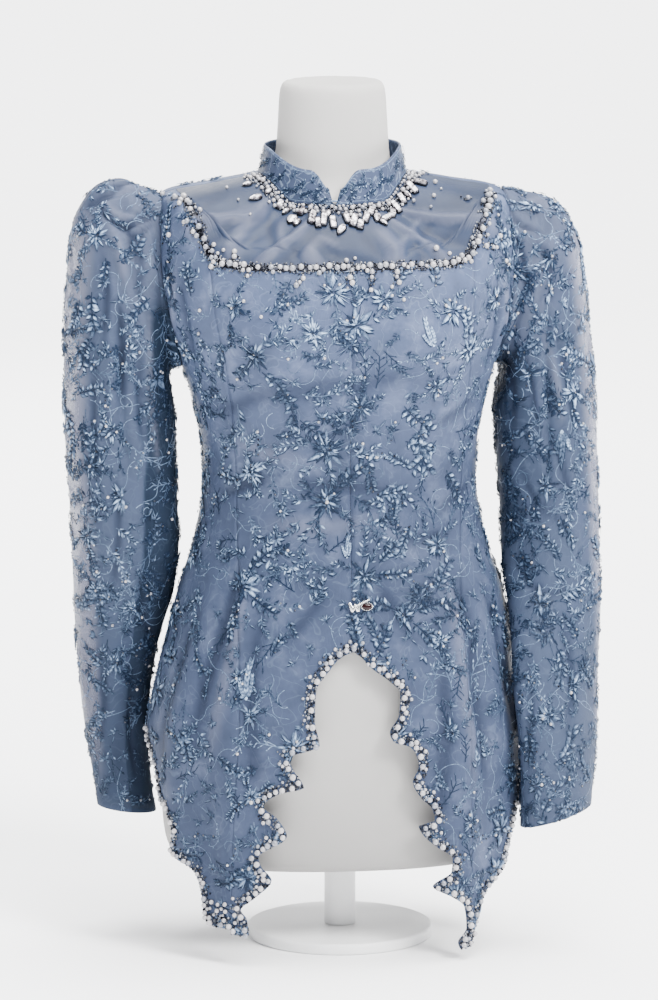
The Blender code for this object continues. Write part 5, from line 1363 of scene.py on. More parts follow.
# Embroidered sprays by skin: kind, place in the view, size, heading, tone.
SPRAYS = {skin: sized(rows, None, 1, 1, 100, 1, 100) for skin, rows in (("body", (
    (icy, 236, 306, 75, 60, 65), (fern, 262, 312, 100, 8, 75), (star, 255, 356, 110, 60, 5),
    (fern, 272, 345, 115, 42, 70), (icy, 356, 326, 115, 85, 75), (heart, 350, 345, 100, 85, 35),
    (icy, 384, 300, 80, 20, 60), (long_leaf, 434, 346, 95, 118, 100), (icy, 452, 311, 95, 40, 70),
    (star, 468, 350, 100, 100, 62), (fern, 418, 362, 110, 12, 35), (icy, 436, 386, 75, 190, 50),
    (antler, 366, 386, 115, 95, 12), (antler, 376, 388, 100, 75, 15),
    (berries, 262, 372, 100, 315, 20), (berries, 284, 392, 100, 295, 30),
    (berries, 300, 420, 100, 315, 30), (branch, 302, 394, 85, 345, 60),
    (star, 360, 406, 85, 30, 2), (heart, 346, 424, 125, 0, 12), (star, 327, 450, 115, 150, 5),
    (fern, 308, 446, 115, 172, 70), (fern, 352, 456, 100, 12, 60),
    (berries, 404, 406, 115, 310, 60), (berries, 418, 432, 120, 275, 65),
    (berries, 436, 440, 100, 235, 60), (berries, 446, 470, 95, 290, 40),
    (fern, 238, 404, 125, 268, 60), (fern, 246, 430, 100, 200, 45), (star, 327, 502, 115, 250, 4),
    (fern, 310, 500, 100, 190, 60), (fern, 352, 496, 125, 330, 12), (fern, 318, 520, 115, 285, 35),
    (fern, 300, 520, 90, 240, 50), (branch, 250, 516, 85, 285, 60), (fern, 262, 545, 90, 20, 50),
    (icy, 436, 545, 90, 90, 50), (antler, 434, 528, 115, 98, 30), (antler, 448, 528, 90, 70, 35),
    (long_leaf, 347, 558, 72, 92, 100), (star, 364, 576, 100, 95, 12),
    (fern, 362, 560, 110, 80, 20), (star, 244, 586, 105, 60, 22), (fern, 230, 566, 100, 130, 45),
    (fern, 262, 572, 120, 28, 40), (twig, 398, 570, 100, 300, 45),
    (berries, 436, 592, 100, 60, 55), (berries, 234, 612, 85, 280, 65),
    (twig, 262, 598, 100, 320, 30), (fern, 310, 606, 110, 40, 50), (branch, 330, 598, 80, 160, 40),
    (long_leaf, 246, 700, 125, 88, 100), (star, 250, 716, 72, 90, 60),
    (icy, 240, 676, 70, 100, 70), (fern, 198, 732, 110, 310, 55), (berries, 218, 756, 75, 320, 55),
    (fern, 226, 776, 100, 300, 60), (berries, 258, 768, 80, 200, 5), (star, 252, 796, 60, 30, 70),
    (antler, 188, 640, 110, 265, 30), (antler, 186, 700, 120, 262, 35),
    (twig, 188, 765, 110, 268, 40), (branch, 200, 585, 90, 262, 40), (fern, 184, 802, 70, 20, 40),
    (twig, 300, 680, 90, 20, 45), (twig, 235, 835, 90, 300, 40), (fern, 205, 700, 70, 95, 35),
    (antler, 275, 640, 90, 240, 20), (star, 404, 616, 95, 150, 4), (heart, 420, 598, 120, 60, 10),
    (berries, 424, 632, 90, 340, 50), (berries, 380, 606, 80, 190, 35), (icy, 440, 640, 65, 0, 55),
    (antler, 452, 690, 150, 100, 75), (antler, 426, 702, 110, 75, 60),
    (antler, 470, 690, 120, 62, 80), (star, 452, 732, 80, 40, 10), (fern, 462, 724, 110, 60, 75),
    (branch, 440, 770, 100, 262, 45), (fern, 475, 772, 130, 78, 70), (fern, 486, 760, 110, 88, 60),
    (icy, 470, 822, 70, 110, 55), (antler, 460, 800, 100, 35, 60), (twig, 474, 852, 90, 60, 45),
    (branch, 496, 640, 110, 262, 40), (antler, 500, 720, 120, 80, 40),
    (fern, 448, 830, 80, 200, 40), (branch, 196, 330, 100, 280, 40), (icy, 186, 350, 70, 300, 60),
    (fern, 204, 392, 100, 262, 40), (branch, 208, 450, 80, 270, 40), (twig, 220, 480, 90, 80, 45),
    (fern, 206, 520, 90, 280, 30), (icy, 494, 300, 80, 90, 45), (branch, 478, 410, 90, 270, 40),
    (fern, 472, 470, 100, 265, 30), (berries, 480, 520, 90, 280, 40),
    (fern, 486, 576, 110, 110, 45), (icy, 494, 612, 70, 300, 35),
)), ("sleeve_right", (
    (icy, 104, 210, 75, 200, 60), (fern, 118, 192, 90, 170, 50), (star, 96, 236, 80, 250, 55),
    (fern, 122, 246, 90, 280, 60), (fern, 82, 248, 80, 262, 40), (berries, 106, 258, 70, 270, 45),
    (berries, 92, 292, 110, 268, 60), (berries, 80, 300, 100, 262, 50),
    (berries, 92, 338, 90, 240, 60), (berries, 150, 298, 90, 215, 45),
    (fern, 138, 312, 110, 240, 75), (icy, 130, 350, 75, 240, 65), (twig, 106, 372, 90, 300, 40),
    (branch, 118, 396, 80, 80, 50), (curl, 130, 414, 120, 60, 60), (icy, 112, 430, 75, 200, 70),
    (antler, 132, 446, 110, 315, 80), (star, 90, 466, 95, 80, 8), (fern, 82, 486, 100, 250, 25),
    (icy, 122, 498, 100, 60, 65), (curl, 136, 508, 130, 40, 80), (star, 88, 536, 80, 100, 30),
    (fern, 116, 528, 90, 340, 50), (twig, 106, 545, 110, 300, 70), (icy, 148, 590, 70, 200, 60),
    (star, 134, 608, 85, 240, 50), (fern, 118, 632, 110, 15, 60), (star, 116, 662, 75, 60, 45),
    (fern, 86, 660, 110, 290, 35), (branch, 96, 700, 90, 280, 30), (twig, 124, 700, 100, 340, 30),
    (antler, 110, 745, 110, 280, 30), (fern, 116, 796, 90, 10, 45),
    (blossom, 140, 800, 110, 10, 45), (fern, 80, 380, 80, 265, 40),
    (berries, 84, 420, 80, 262, 40),
)), ("sleeve_left", (
    (star, 532, 206, 90, 150, 40), (icy, 556, 206, 80, 340, 50), (twig, 520, 222, 100, 230, 50),
    (star, 552, 256, 90, 230, 10), (berries, 560, 244, 90, 30, 25), (icy, 548, 290, 75, 80, 70),
    (fern, 556, 318, 120, 255, 35), (fern, 576, 336, 110, 35, 60), (heart, 566, 342, 90, 0, 25),
    (branch, 520, 360, 90, 80, 35), (star, 530, 374, 85, 340, 12),
    (berries, 542, 388, 90, 300, 40), (star, 574, 392, 80, 0, 60), (icy, 558, 396, 70, 200, 70),
    (heart, 510, 402, 120, 0, 15), (berries, 522, 424, 110, 300, 20),
    (long_leaf, 562, 430, 115, 275, 90), (fern, 548, 424, 110, 290, 60),
    (branch, 580, 440, 100, 268, 45), (antler, 532, 456, 120, 60, 65),
    (branch, 514, 480, 100, 270, 20), (star, 545, 486, 90, 60, 25), (fern, 572, 510, 110, 240, 40),
    (star, 512, 520, 90, 20, 30), (berries, 524, 550, 100, 280, 45), (curl, 566, 528, 130, 0, 60),
    (star, 540, 604, 125, 200, 4), (fern, 556, 596, 150, 18, 75), (fern, 526, 592, 100, 140, 70),
    (heart, 546, 632, 130, 0, 15), (fern, 566, 620, 120, 20, 50),
    (berries, 556, 646, 110, 290, 55), (branch, 520, 640, 90, 285, 60),
    (star, 584, 668, 80, 250, 15), (icy, 572, 686, 80, 150, 70), (icy, 548, 716, 75, 60, 65),
    (star, 532, 750, 100, 100, 10), (berries, 556, 762, 110, 30, 40), (icy, 536, 786, 85, 240, 50),
    (fern, 574, 775, 90, 240, 50), (antler, 526, 700, 110, 80, 50), (fern, 588, 560, 90, 260, 50),
)))}
KNOTTED = (star, heart, icy, berries)    # they get painted shade on the cloth about them where they are dark
FREE_SPRAYS = (star, star, berries, branch, icy, fern, antler)
FILLERS = (fern, twig, berries, wander, wander, curl, antler, tuft, tuft, tuft)


def view_frame():
    """Target of the view and its directions to the right, up and back to the eye."""
    right = Vector((math.cos(VIEW_AZIMUTH), math.sin(VIEW_AZIMUTH), 0))
    back = Vector((math.sin(VIEW_AZIMUTH) * math.cos(VIEW_ELEVATION),
                   -math.cos(VIEW_AZIMUTH) * math.cos(VIEW_ELEVATION), math.sin(VIEW_ELEVATION)))
    target = Vector((0, 0, VIEW_CENTRE_Z)) + right * VIEW_SHIFT
    return target, right, back.cross(right), back


def seen_at(x, y):
    """Where the view's ray through a place of the view starts, and its direction."""
    target, right, above, back = view_frame()
    place = (target + right * ((x - VIEW_WIDTH / 2) * VIEW_UNIT)
             + above * ((VIEW_HEIGHT / 2 - y) * VIEW_UNIT))
    eye = target + back * VIEW_DISTANCE
    return eye, (place - eye).normalized()


def free_places(skin, gap, taken, rng):
    """Places on a skin that stay at least a gap away from each other and from those taken."""
    order = list(range(len(skin.points)))
    rng.shuffle(order)
    known = np.array([list(point) for point in taken] + [FAR_OFF])
    found = []
    for index in order[::FREE_STRIDE]:
        point = skin.points[index]
        least = gap * (BACK_GAP if point[1] > SIDE_Y else 1)
        if np.min(np.sum((known - point) ** 2, axis=1)) < least * least:
            continue
        known = np.concatenate([known, point[None]])
        found.append(Vector(point))
    return found


def sew_region(name, skin, lift, inner, seed):
    """All the embroidery of one region: the named sprays, others like them, small filling ones."""
    work = Needlework(skin, lift, random.Random(SEED + seed), inner)
    rng, draw = work.rng, work.rng.uniform
    taken = []
    for kind, x, y, size, heading, tone in SPRAYS[name]:
        eye, ahead = seen_at(x, y)
        place = skin.tree.ray_cast(eye, ahead)[0] or skin.nearest(eye + ahead * VIEW_DISTANCE)[0]
        taken.append(place)
        kind(work, Walker(skin, place, heading), SPRAY_SCALE * size, tone)
    for point in free_places(skin, SPRAY_GAP, taken, rng):
        taken.append(point)
        kind = rng.choice(FREE_SPRAYS)
        kind(work, Walker(skin, point, draw(0, 360)), SPRAY_SCALE * draw(0.8, 1.15),
             rng.choice(SPRAY_SHARES))
    work.calm = SLEEVE_CALM if inner else FILLER_CALM
    gap = bpy.context.scene.kebaya_sizes.filler_gap * (SLEEVE_GAP if inner else 1)
    for point in free_places(skin, gap, taken, rng):
        kind = rng.choice(FILLERS)
        kind(work, Walker(skin, point, draw(0, 360)), draw(0.75, 1.15),
             rng.choice(SPRAY_SHARES))
    return work


# ---------------------------------------------------------------- beads
def master_arrays(obj):
    """Vertices and triangles of a modelled piece, which is then taken away."""
    mesh = obj.data
    mesh.calc_loop_triangles()
    points = np.array([list(v.co) for v in mesh.vertices])
    faces = np.array([list(t.vertices) for t in mesh.loop_triangles])
    bpy.data.objects.remove(obj, do_unlink=True)
    return points, faces


def round_master(segments, rings):
    bpy.ops.object.select_all(action="DESELECT")
    bpy.ops.mesh.primitive_uv_sphere_add(segments=segments, ring_count=rings, radius=1)
    return master_arrays(bpy.context.object)


def cut_master():
    """A long stone with a stepped top, one unit long along x, its back at z = 0."""
    bpy.ops.object.select_all(action="DESELECT")
    bpy.ops.mesh.primitive_cube_add(size=1, location=(0.5, 0, 0.5))
    bpy.ops.object.mode_set(mode="EDIT")
    bpy.ops.mesh.select_all(action="SELECT")
    bpy.ops.mesh.bevel(offset=0.13, segments=1, affect="EDGES")
    bpy.ops.object.mode_set(mode="OBJECT")
    bpy.ops.object.transform_apply()
    return master_arrays(bpy.context.object)


def drop_master():
    """A pear-shaped stone, one unit long along x, its point at the start."""
    bpy.ops.object.select_all(action="DESELECT")
    bpy.ops.mesh.primitive_uv_sphere_add(segments=8, ring_count=6, radius=0.5,
                                         rotation=(0, math.pi / 2, 0))
    bpy.ops.object.transform_apply(location=False, rotation=True, scale=False)
    points, faces = master_arrays(bpy.context.object)
    share = points[:, 0] + 0.5
    narrow = 0.35 + 0.75 * np.sqrt(np.clip(share, 0, 1))
    points = np.stack([share, points[:, 1] * narrow, points[:, 2] * narrow + 0.5], axis=1)
    return points, faces


def copies(name, master, frames, origins, sizes, finish, attributes=None, smooth=True):
    """One joined mesh of a master put at each origin, turned by its frame and sized."""
    points, faces = master
    sized_points = points[None] * np.asarray(sizes)[:, None, :]
    placed = np.einsum("nij,nkj->nki", np.asarray(frames), sized_points) + np.asarray(origins)[:, None]
    joined = faces[None] + np.arange(len(placed))[:, None, None] * len(points)
    per_vertex = {key: np.repeat(values, len(points)) for key, values in (attributes or {}).items()}
    mesh = new_mesh(name, placed, joined.reshape(-1, 3), attributes=per_vertex)
    if not smooth:
        mesh.shade_flat()
    return settle(new_object(name, mesh, finish), "beads")


def bead_piece(name, beads, finish, segments=8, rings=6):
    """Round beads given as (centre, radius)."""
    centres = np.array([list(centre) for centre, _ in beads])
    radii = np.array([[radius] * 3 for _, radius in beads])
    frames = np.broadcast_to(np.eye(3), (len(beads), 3, 3))
    rng = random.Random(len(beads))
    tones = np.array([rng.random() for _ in beads])
    copies(name, round_master(segments, rings), frames, centres, radii, finish, {"tone": tones})


def spaced(points, gap):
    """Places at even steps along a line of points, with the direction at each."""
    lengths = np.concatenate([[0], np.cumsum(np.linalg.norm(np.diff(points, axis=0), axis=1))])
    at = np.linspace(0, lengths[-1], max(int(lengths[-1] / gap), 2) + 1)
    places, ahead, behind = (
        np.stack([np.interp(where, lengths, points[:, k]) for k in range(3)], axis=1)
        for where in (at, np.minimum(at + 0.001, lengths[-1]), np.maximum(at - 0.001, 0)))
    return places, unit(ahead - behind)


def hem_paths(side):
    """Lines round a front: the arch edge, the tip, the tail's edge and the back hem."""
    low, outer_low = ARCH_EDGE[side][0][0], TAIL_EDGE[side][0][0]
    down = np.linspace(ARCH_TOP - 2 * HAIR, low, 240)
    first, seam = arch_edge(side)(np.array(low)), princess_angle(side, np.array(low))
    last_seam = princess_angle(side, np.array(outer_low))
    outer = tail_edge(side)(np.array(outer_low))
    tip = np.concatenate([torso(low, np.linspace(first, seam, 12)),
                          torso(outer_low, np.linspace(last_seam, outer, 12))])
    up = np.linspace(outer_low, SIDE_HEM - 2 * HAIR, 140)
    ends = tail_edge(side)(np.array(SIDE_HEM + HAIR))
    hem = torso(SIDE_HEM, np.linspace(float(ends), side * (math.pi / 2), 8))
    angles = side * np.linspace(math.pi / 2, math.pi, 160)
    behind = torso(scalloped(np.full(160, SIDE_HEM), angles), angles)
    return {"arch": torso(down, arch_edge(side)(down)), "tip": tip,
            "tail": torso(up, tail_edge(side)(up)), "hem": np.concatenate([hem, behind])}


class Beading:
    """Pearls and small beads sewn on a skin, each clear of those that are there already."""

    def __init__(self, skin, lift, seed):
        self.skin, self.lift, self.rng = skin, lift, random.Random(SEED + seed)
        self.cells, self.pearls, self.beads = {}, [], []

    def block(self, centre, radius):
        """Keeps the place of a stone or bead; returns the cell it lies in."""
        cell = tuple(int(value // BEAD_CELL) for value in centre)
        self.cells.setdefault(cell, []).append((centre, radius))

    def sew(self, store, point, radius):
        place, normal, off = self.skin.nearest(point)
        if off > BEAD_OFF_CLOTH:
            return
        centre = place + normal * (self.lift + PEARL_RISE * radius)
        x, y, z = (int(value // BEAD_CELL) for value in centre)
        for i in (x - 1, x, x + 1):
            for j in (y - 1, y, y + 1):
                for k in (z - 1, z, z + 1):
                    for other, size in self.cells.get((i, j, k), ()):
                        if (other - centre).length < CROWDING * (radius + size):
                            return
        self.block(centre, radius)
        store.append((centre, radius))

    def strew(self, store, line, step, near, far, radii, side=1, chance=1):
        """Beads at random places of a band that runs beside a line, from near to far of it."""
        rng = self.rng
        places, ahead = spaced(line, step)
        for point, direction in zip(places, ahead):
            if rng.random() > chance:
                continue
            _, normal, _ = self.skin.nearest(Vector(point))
            along = Vector(direction)
            inward = normal.cross(along).normalized() * side
            self.sew(store, Vector(point) + inward * rng.uniform(near, far)
                     + along * rng.uniform(-0.4, 0.4) * step, rng.uniform(*radii))

    def pieces(self, word, ending=""):
        bead_piece(f"{word}_pearls{ending}", self.pearls, "pearl")
        bead_piece(f"{word}_beads{ending}", self.beads, "bead", 6, 4)


def edge_beads(side):
    """Pearls and dark beads along the free edges, thick on the arch and at the tips."""
    work = Beading(SKINS["body"], CLOTH / 2, 30 + side)
    sizes = bpy.context.scene.kebaya_sizes
    big, small = sizes.pearl_radius, sizes.bead_radius
    lines = hem_paths(side)
    for word, step, scale, width in (("arch", 0.0074, 1, 0.0085), ("tip", 0.0062, 1, 0.012),
                                     ("tail", 0.0084, 0.88, 0.007), ("hem", 0.01, 0.8, 0.004)):
        # which beads, how often, the step, the band from near to far, the radii and the chance
        rows = [(work.pearls, 1, step, 0.003, 0.0044, 0.92 * big * scale, 1.18 * big * scale, 1),
                (work.pearls, 1, 1.2 * step, 0.006, width, 0.6 * big, 1.05 * big * scale, 0.8)]
        if word == "tip":
            rows.append((work.pearls, 3, 0.0046, width, 0.026, 0.5 * big, 0.85 * big, 1))
        if word == "arch":
            rows.append((work.pearls, 1, 2.2 * step, width, width + 0.006, 0.5 * big, 0.8 * big, 0.6))
        rows += [(work.beads, 1, 0.0023, 0.0008, 0.0012, small, 1.15 * small, 1),
                 (work.beads, 2, 0.0048, 0.0024, width, 1.2 * small, 1.6 * small, 1),
                 (work.beads, 6, 0.0021, 0.0016, width + 0.0015, 0.75 * small, 1.15 * small, 1),
                 (work.beads, 1, 0.004, width, width + 0.005, 0.7 * small, small, 0.6)]
        for store, rounds, gap, near, far, least, most, chance in rows:
            for _ in range(rounds):
                work.strew(store, lines[word], gap, near, far, (least, most), side, chance)
    work.pieces("edge", "_" + WORDS[side])


# ---------------------------------------------------------------- trims
def yoke_line():
    """Middle of the trim along the yoke seam, from the wearer's right shoulder to the left one."""
    levels = np.linspace(YOKE_LEVEL, SHOULDER_END_OF_YOKE - 0.0035, 30)
    right = torso(levels, princess_angle(-1, levels))
    left = torso(levels, princess_angle(1, levels))
    corners = [float(princess_angle(side, np.array(YOKE_LEVEL))) for side in (-1, 1)]
    angles = np.linspace(corners[0], corners[1], 80)[1:-1]
    line = np.concatenate([right[::-1], torso(YOKE_LEVEL, angles), left])
    line, _ = spaced(line, 0.003)
    for _ in range(TRIM_ROUNDING):
        line[1:-1] = (line[:-2] + 2 * line[1:-1] + line[2:]) / 4
    return line


def neck_line(reach, half_arc):
    """Line round the front of the neck, a distance below the collar's seam."""
    angles = np.linspace(-half_arc, half_arc, 90)
    level = NECK_LEVEL - climb_of(NECK_LEVEL, angles, reach)
    return torso(level, angles)


def backing(name, node, skin, line, width):
    """Low rounded band under the beads of a trim; it stands for the node."""
    places, ahead = spaced(line, BAND_STEP)
    points, heights = [], []
    for point, direction in zip(places, ahead):
        place, normal, _ = skin.nearest(Vector(point))
        along = Vector(direction)
        side = normal.cross((along - normal * along.dot(normal)).normalized())
        for across, share in BAND_PROFILE:
            points.append(place + side * (across * width))
            heights.append(CLOTH / 2 - BAND_ROOT + BAND_CROWN * share)
    faces, _, _ = grid_faces(len(places), len(BAND_PROFILE), flip=True)
    mesh = new_mesh(name, skin.lay(points, heights), faces)
    settle(new_object(name, mesh, "bead"), "beads", node)


def sprig(work, place, direction, length):
    """A short row of pearls that grow smaller, with beads beside it."""
    count = max(int(length / SPRIG_STEP), 2)
    rng = work.rng
    for k in range(count):
        point = place + direction * (SPRIG_STEP + SPRIG_STEP * k)
        radius = SPRIG_PEARL * (1 - SPRIG_TAPER * k / count) * rng.uniform(0.88, 1.12)
        work.sew(work.pearls, point, radius)
        for _ in range(SPRIG_BEADS):
            shift = Vector((rng.uniform(-1, 1), 0, rng.uniform(-1, 1))).normalized()
            work.sew(work.beads, point + shift * (radius + SPRIG_BEAD_GAP), SPRIG_BEAD)


def stones(name, skin, spots, master):
    """Cut stones laid on a skin in dark settings: place, direction, length and width of each."""
    frames, origins, sizes, backs, settings = [], [], [], [], []
    for place, direction, length, width in spots:
        length, width = length * STONE_SCALE[0], width * STONE_SCALE[1]
        on, normal, _ = skin.nearest(place - direction * (length / 2))
        along = (direction - normal * direction.dot(normal)).normalized()
        frames.append(np.array([list(along), list(normal.cross(along)), list(normal)]).T)
        origins.append(list(on + normal * (CLOTH / 2 + STONE_LIFT)))
        sizes.append((length, width, STONE_HEIGHT))
        backs.append(list(on + normal * (CLOTH / 2) - along * SETTING_RIM))
        settings.append((length + 2 * SETTING_RIM, width + 2 * SETTING_RIM,
                         SETTING_HEIGHT * STONE_HEIGHT))
    copies(name, master, frames, origins, sizes, "crystal", smooth=False)
    copies(name + "_setting", master, frames, backs, settings, "bead",
           {"tone": np.full(len(spots), 0.1)})


# ---------------------------------------------------------------- materials
def colour(name):
    return (*getattr(bpy.context.scene.kebaya_colours, name), 1)


def link_or_set(tree, socket, value):
    """Joins an input to a socket, or gives it a constant."""
    if isinstance(value, bpy.types.NodeSocket):
        tree.links.new(value, socket)
    else:
        socket.default_value = value


def add_node(tree, kind, settings=None, **values):
    """A shader node with its settings; inputs go by name, or by number as in i0."""
    made = tree.nodes.new("ShaderNode" + kind)
    for key, value in (settings or {}).items():
        setattr(made, key, value)
    for key, value in values.items():
        by_number = key[0] == "i" and key[1:].isdigit()
        link_or_set(tree, made.inputs[int(key[1:]) if by_number else key.replace("_", " ")], value)
    return made


def math_node(tree, operation, first, second=0.5):
    return add_node(tree, "Math", {"operation": operation}, i0=first, i1=second).outputs[0]


def times(tree, first, second):
    return math_node(tree, "MULTIPLY", first, second)


def mix_colours(tree, factor, first, second):
    made = add_node(tree, "Mix", {"data_type": "RGBA"}, i0=factor, i6=first, i7=second)
    return made.outputs[2]


def remap(tree, value, low, high, to_low=0, to_high=1):
    return add_node(tree, "MapRange", i0=value, i1=low, i2=high, i3=to_low, i4=to_high).outputs[0]


def noise(tree, place, scale, **values):
    return add_node(tree, "TexNoise", Vector=place, Scale=scale, **values).outputs["Fac"]


VECTOR, FLOAT, COLOUR = "NodeSocketVector", "NodeSocketFloat", "NodeSocketColor"


def new_group(name, output, inputs):
    """Shader node group with sockets; returns it with its inputs and its output."""
    tree = bpy.data.node_groups.new(name, "ShaderNodeTree")
    for socket, (kind, value) in ({"Vector": (VECTOR, None)} | inputs).items():
        made = tree.interface.new_socket(name=socket, in_out="INPUT", socket_type=kind)
        if value is not None:
            made.default_value = value
    tree.interface.new_socket(name=output, in_out="OUTPUT",
                              socket_type=COLOUR if output == "Color" else FLOAT)
    given = tree.nodes.new("NodeGroupInput").outputs
    return tree, given, tree.nodes.new("NodeGroupOutput").inputs[output]


@functools.cache
def weave():
    """Threads that cross: a height from the cloth's own coordinates in metres."""
    tree, given, made = new_group("Weave", "Height", {"Scale": (FLOAT, 300)})
    waves = [add_node(tree, "TexWave", {"wave_type": "BANDS", "bands_direction": way},
                      Vector=given["Vector"], Scale=given["Scale"],
                      Distortion=0.6).outputs["Fac"] for way in ("X", "Y")]
    tree.links.new(times(tree, *waves), made)
    return tree


@functools.cache
def mottle():
    """Cloth whose tone drifts between three colours."""
    tree, given, made = new_group("Mottle", "Color", {
        "Scale": (FLOAT, 14), "Dark": (COLOUR, None), "Base": (COLOUR, None),
        "Light": (COLOUR, None)})
    drift = noise(tree, given["Vector"], given["Scale"], Detail=4, Roughness=0.62)
    dark = mix_colours(tree, remap(tree, drift, 0.5, 0.3), given["Base"], given["Dark"])
    full = mix_colours(tree, remap(tree, drift, 0.52, 0.72), dark, given["Light"])
    tree.links.new(full, made)
    return tree


@functools.cache
def vines():
    """Thin stitched lines that wander and curl: contour lines of a bent noise."""
    tree, given, made = new_group("Vines", "Mask", {"Scale": (FLOAT, 38), "Width": (FLOAT, 0.02)})
    bent = noise(tree, given["Vector"], given["Scale"], Detail=1.5, Distortion=0.9)
    away = math_node(tree, "ABSOLUTE", math_node(tree, "SUBTRACT", bent, 0.5))
    tree.links.new(remap(tree, away, given["Width"], 0), made)
    return tree


def placed(tree, group, **values):
    """A shared group placed in a material."""
    node = tree.nodes.new("ShaderNodeGroup")
    node.node_tree = group()
    for key, value in values.items():
        link_or_set(tree, node.inputs[key], value)
    return node.outputs[0]


def new_material(name, **constants):
    """Material with a Principled shader whose constant inputs are set on it directly."""
    mat = bpy.data.materials.new(name)
    mat.use_nodes = True
    shader = mat.node_tree.nodes["Principled BSDF"]
    for key, value in constants.items():
        shader.inputs[key.replace("_", " ")].default_value = value
    return mat, mat.node_tree, shader


def object_coordinates(tree):
    return tree.nodes.new("ShaderNodeTexCoord").outputs["Object"]


def attribute(tree, name):
    return add_node(tree, "Attribute", {"attribute_name": name}).outputs["Fac"]


def bump(tree, shader, height, strength, distance):
    made = add_node(tree, "Bump", Strength=strength, Distance=distance, Height=height)
    tree.links.new(made.outputs["Normal"], shader.inputs["Normal"])


def by_height(tree, tone, levels, shares):
    """A share of the colour that runs from the first level's to the second level's."""
    place = add_node(tree, "SeparateXYZ", Vector=object_coordinates(tree))
    share = remap(tree, place.outputs["Z"], *levels, *shares)
    return add_node(tree, "VectorMath", {"operation": "SCALE"}, Vector=tone,
                    Scale=share).outputs["Vector"]


def creased(tree, tone):
    """The colour with painted shade in the creases and a painted highlight, in the sleeve-edge colour,
    on the ridges.
    """
    crease = attribute(tree, "crease")
    low = mix_colours(tree, remap(tree, crease, 0, 1, 0, 0.68), tone, PAINTED_CREASE_SHADE)
    return mix_colours(tree, remap(tree, crease, 0, -1, 0, 0.16), low, colour("sheer"))


def woven(tree, shader, tone, roughness, threads, raised, strength=0.5, distance=0.0004):
    """Colour, roughness and weave of a cloth: (scale, share) of its threads, lines raised on it."""
    tree.links.new(tone, shader.inputs["Base Color"])
    tree.links.new(roughness, shader.inputs["Roughness"])
    own_uv = add_node(tree, "UVMap", {"uv_map": "UVMap"}).outputs[0]
    crossed = placed(tree, weave, Vector=own_uv, Scale=threads[0])
    height = math_node(tree, "ADD", times(tree, crossed, threads[1]), times(tree, *raised))
    bump(tree, shader, height, strength, distance)


def cloth_material():
    """Steel-blue lace cloth: drifting tone, pale vine stitches and a soft weave."""
    mat, tree, shader = new_material("kebaya_cloth", Specular_IOR_Level=0.05)
    place = object_coordinates(tree)
    tone = placed(tree, mottle, Vector=place, Scale=26, Dark=colour("cloth_dark"),
                  Base=colour("cloth"), Light=colour("cloth_light"))
    # a faint painted shadow along a pattern of wandering lines
    shadow = placed(tree, vines, Vector=place, Scale=64, Width=0.075)
    lines = placed(tree, vines, Vector=place, Scale=46, Width=0.022)
    tone = mix_colours(tree, times(tree, shadow, 0.1), tone, colour("cloth_dark"))
    tone = mix_colours(tree, times(tree, lines, 0.05), tone, colour("thread_pale"))
    # painted highlight high on the body and painted shade low down
    tone = by_height(tree, creased(tree, tone), PAINTED_LIGHT_LEVELS, CLOTH_PAINTED_LIGHT)
    woven(tree, shader, tone, remap(tree, lines, 0, 1, 0.46, 0.38), (260, 0.35), (lines, 0.4))
    return mat


def sleeve_material():
    """Embroidered organza: sheer at its outer edge, with painted shade beyond the fold of the arm."""
    mat, tree, shader = new_material("kebaya_sleeve", Specular_IOR_Level=0.05)
    place = object_coordinates(tree)
    sheer, shade = attribute(tree, "sheer"), attribute(tree, "shade")
    tone = placed(tree, mottle, Vector=place, Scale=22, Dark=colour("cloth_dark"),
                  Base=colour("sleeve"), Light=colour("cloth"))
    tone = mix_colours(tree, sheer, tone, colour("sheer"))
    # painted shade on the sleeve's inner side and lower part
    tone = mix_colours(tree, times(tree, shade, 0.92), tone, SLEEVE_SHADE)
    lines = placed(tree, vines, Vector=place, Scale=44, Width=0.022)
    tone = mix_colours(tree, times(tree, lines, 0.02), tone, colour("thread_pale"))
    clear = remap(tree, sheer, 0, 1, *ORGANZA_ALPHA)
    for least in (times(tree, lines, 0.5), shade, attribute(tree, "hem")):
        clear = math_node(tree, "MAXIMUM", clear, least)
    tree.links.new(clear, shader.inputs["Alpha"])
    woven(tree, shader, creased(tree, tone), remap(tree, shade, 0, 1, 0.46, 0.95), (260, 0.3),
          (lines, 0.4))
    return mat


def around(tone, darker, lighter):
    """A colour's darker and lighter neighbours."""
    return [tuple(min(channel * share, 1) for channel in tone[:3]) + (1,)
            for share in (darker, lighter)]


def satin_material(name, tone, line_share, line_scale):
    """Plain satin of the yoke and collar, with a share of pale stitched lines."""
    mat, tree, shader = new_material(name, Specular_IOR_Level=0.08)
    place = object_coordinates(tree)
    dark, light = around(tone, 0.8, 1.22)
    tone = placed(tree, mottle, Vector=place, Scale=16, Dark=dark, Base=tone, Light=light)
    lines = placed(tree, vines, Vector=place, Scale=line_scale, Width=0.03)
    tone = mix_colours(tree, times(tree, lines, line_share), tone, colour("thread_pale"))
    woven(tree, shader, creased(tree, tone), remap(tree, lines, 0, 1, 0.36, 0.3), (420, 0.3),
          (lines, line_share), 0.4, 0.0003)
    return mat


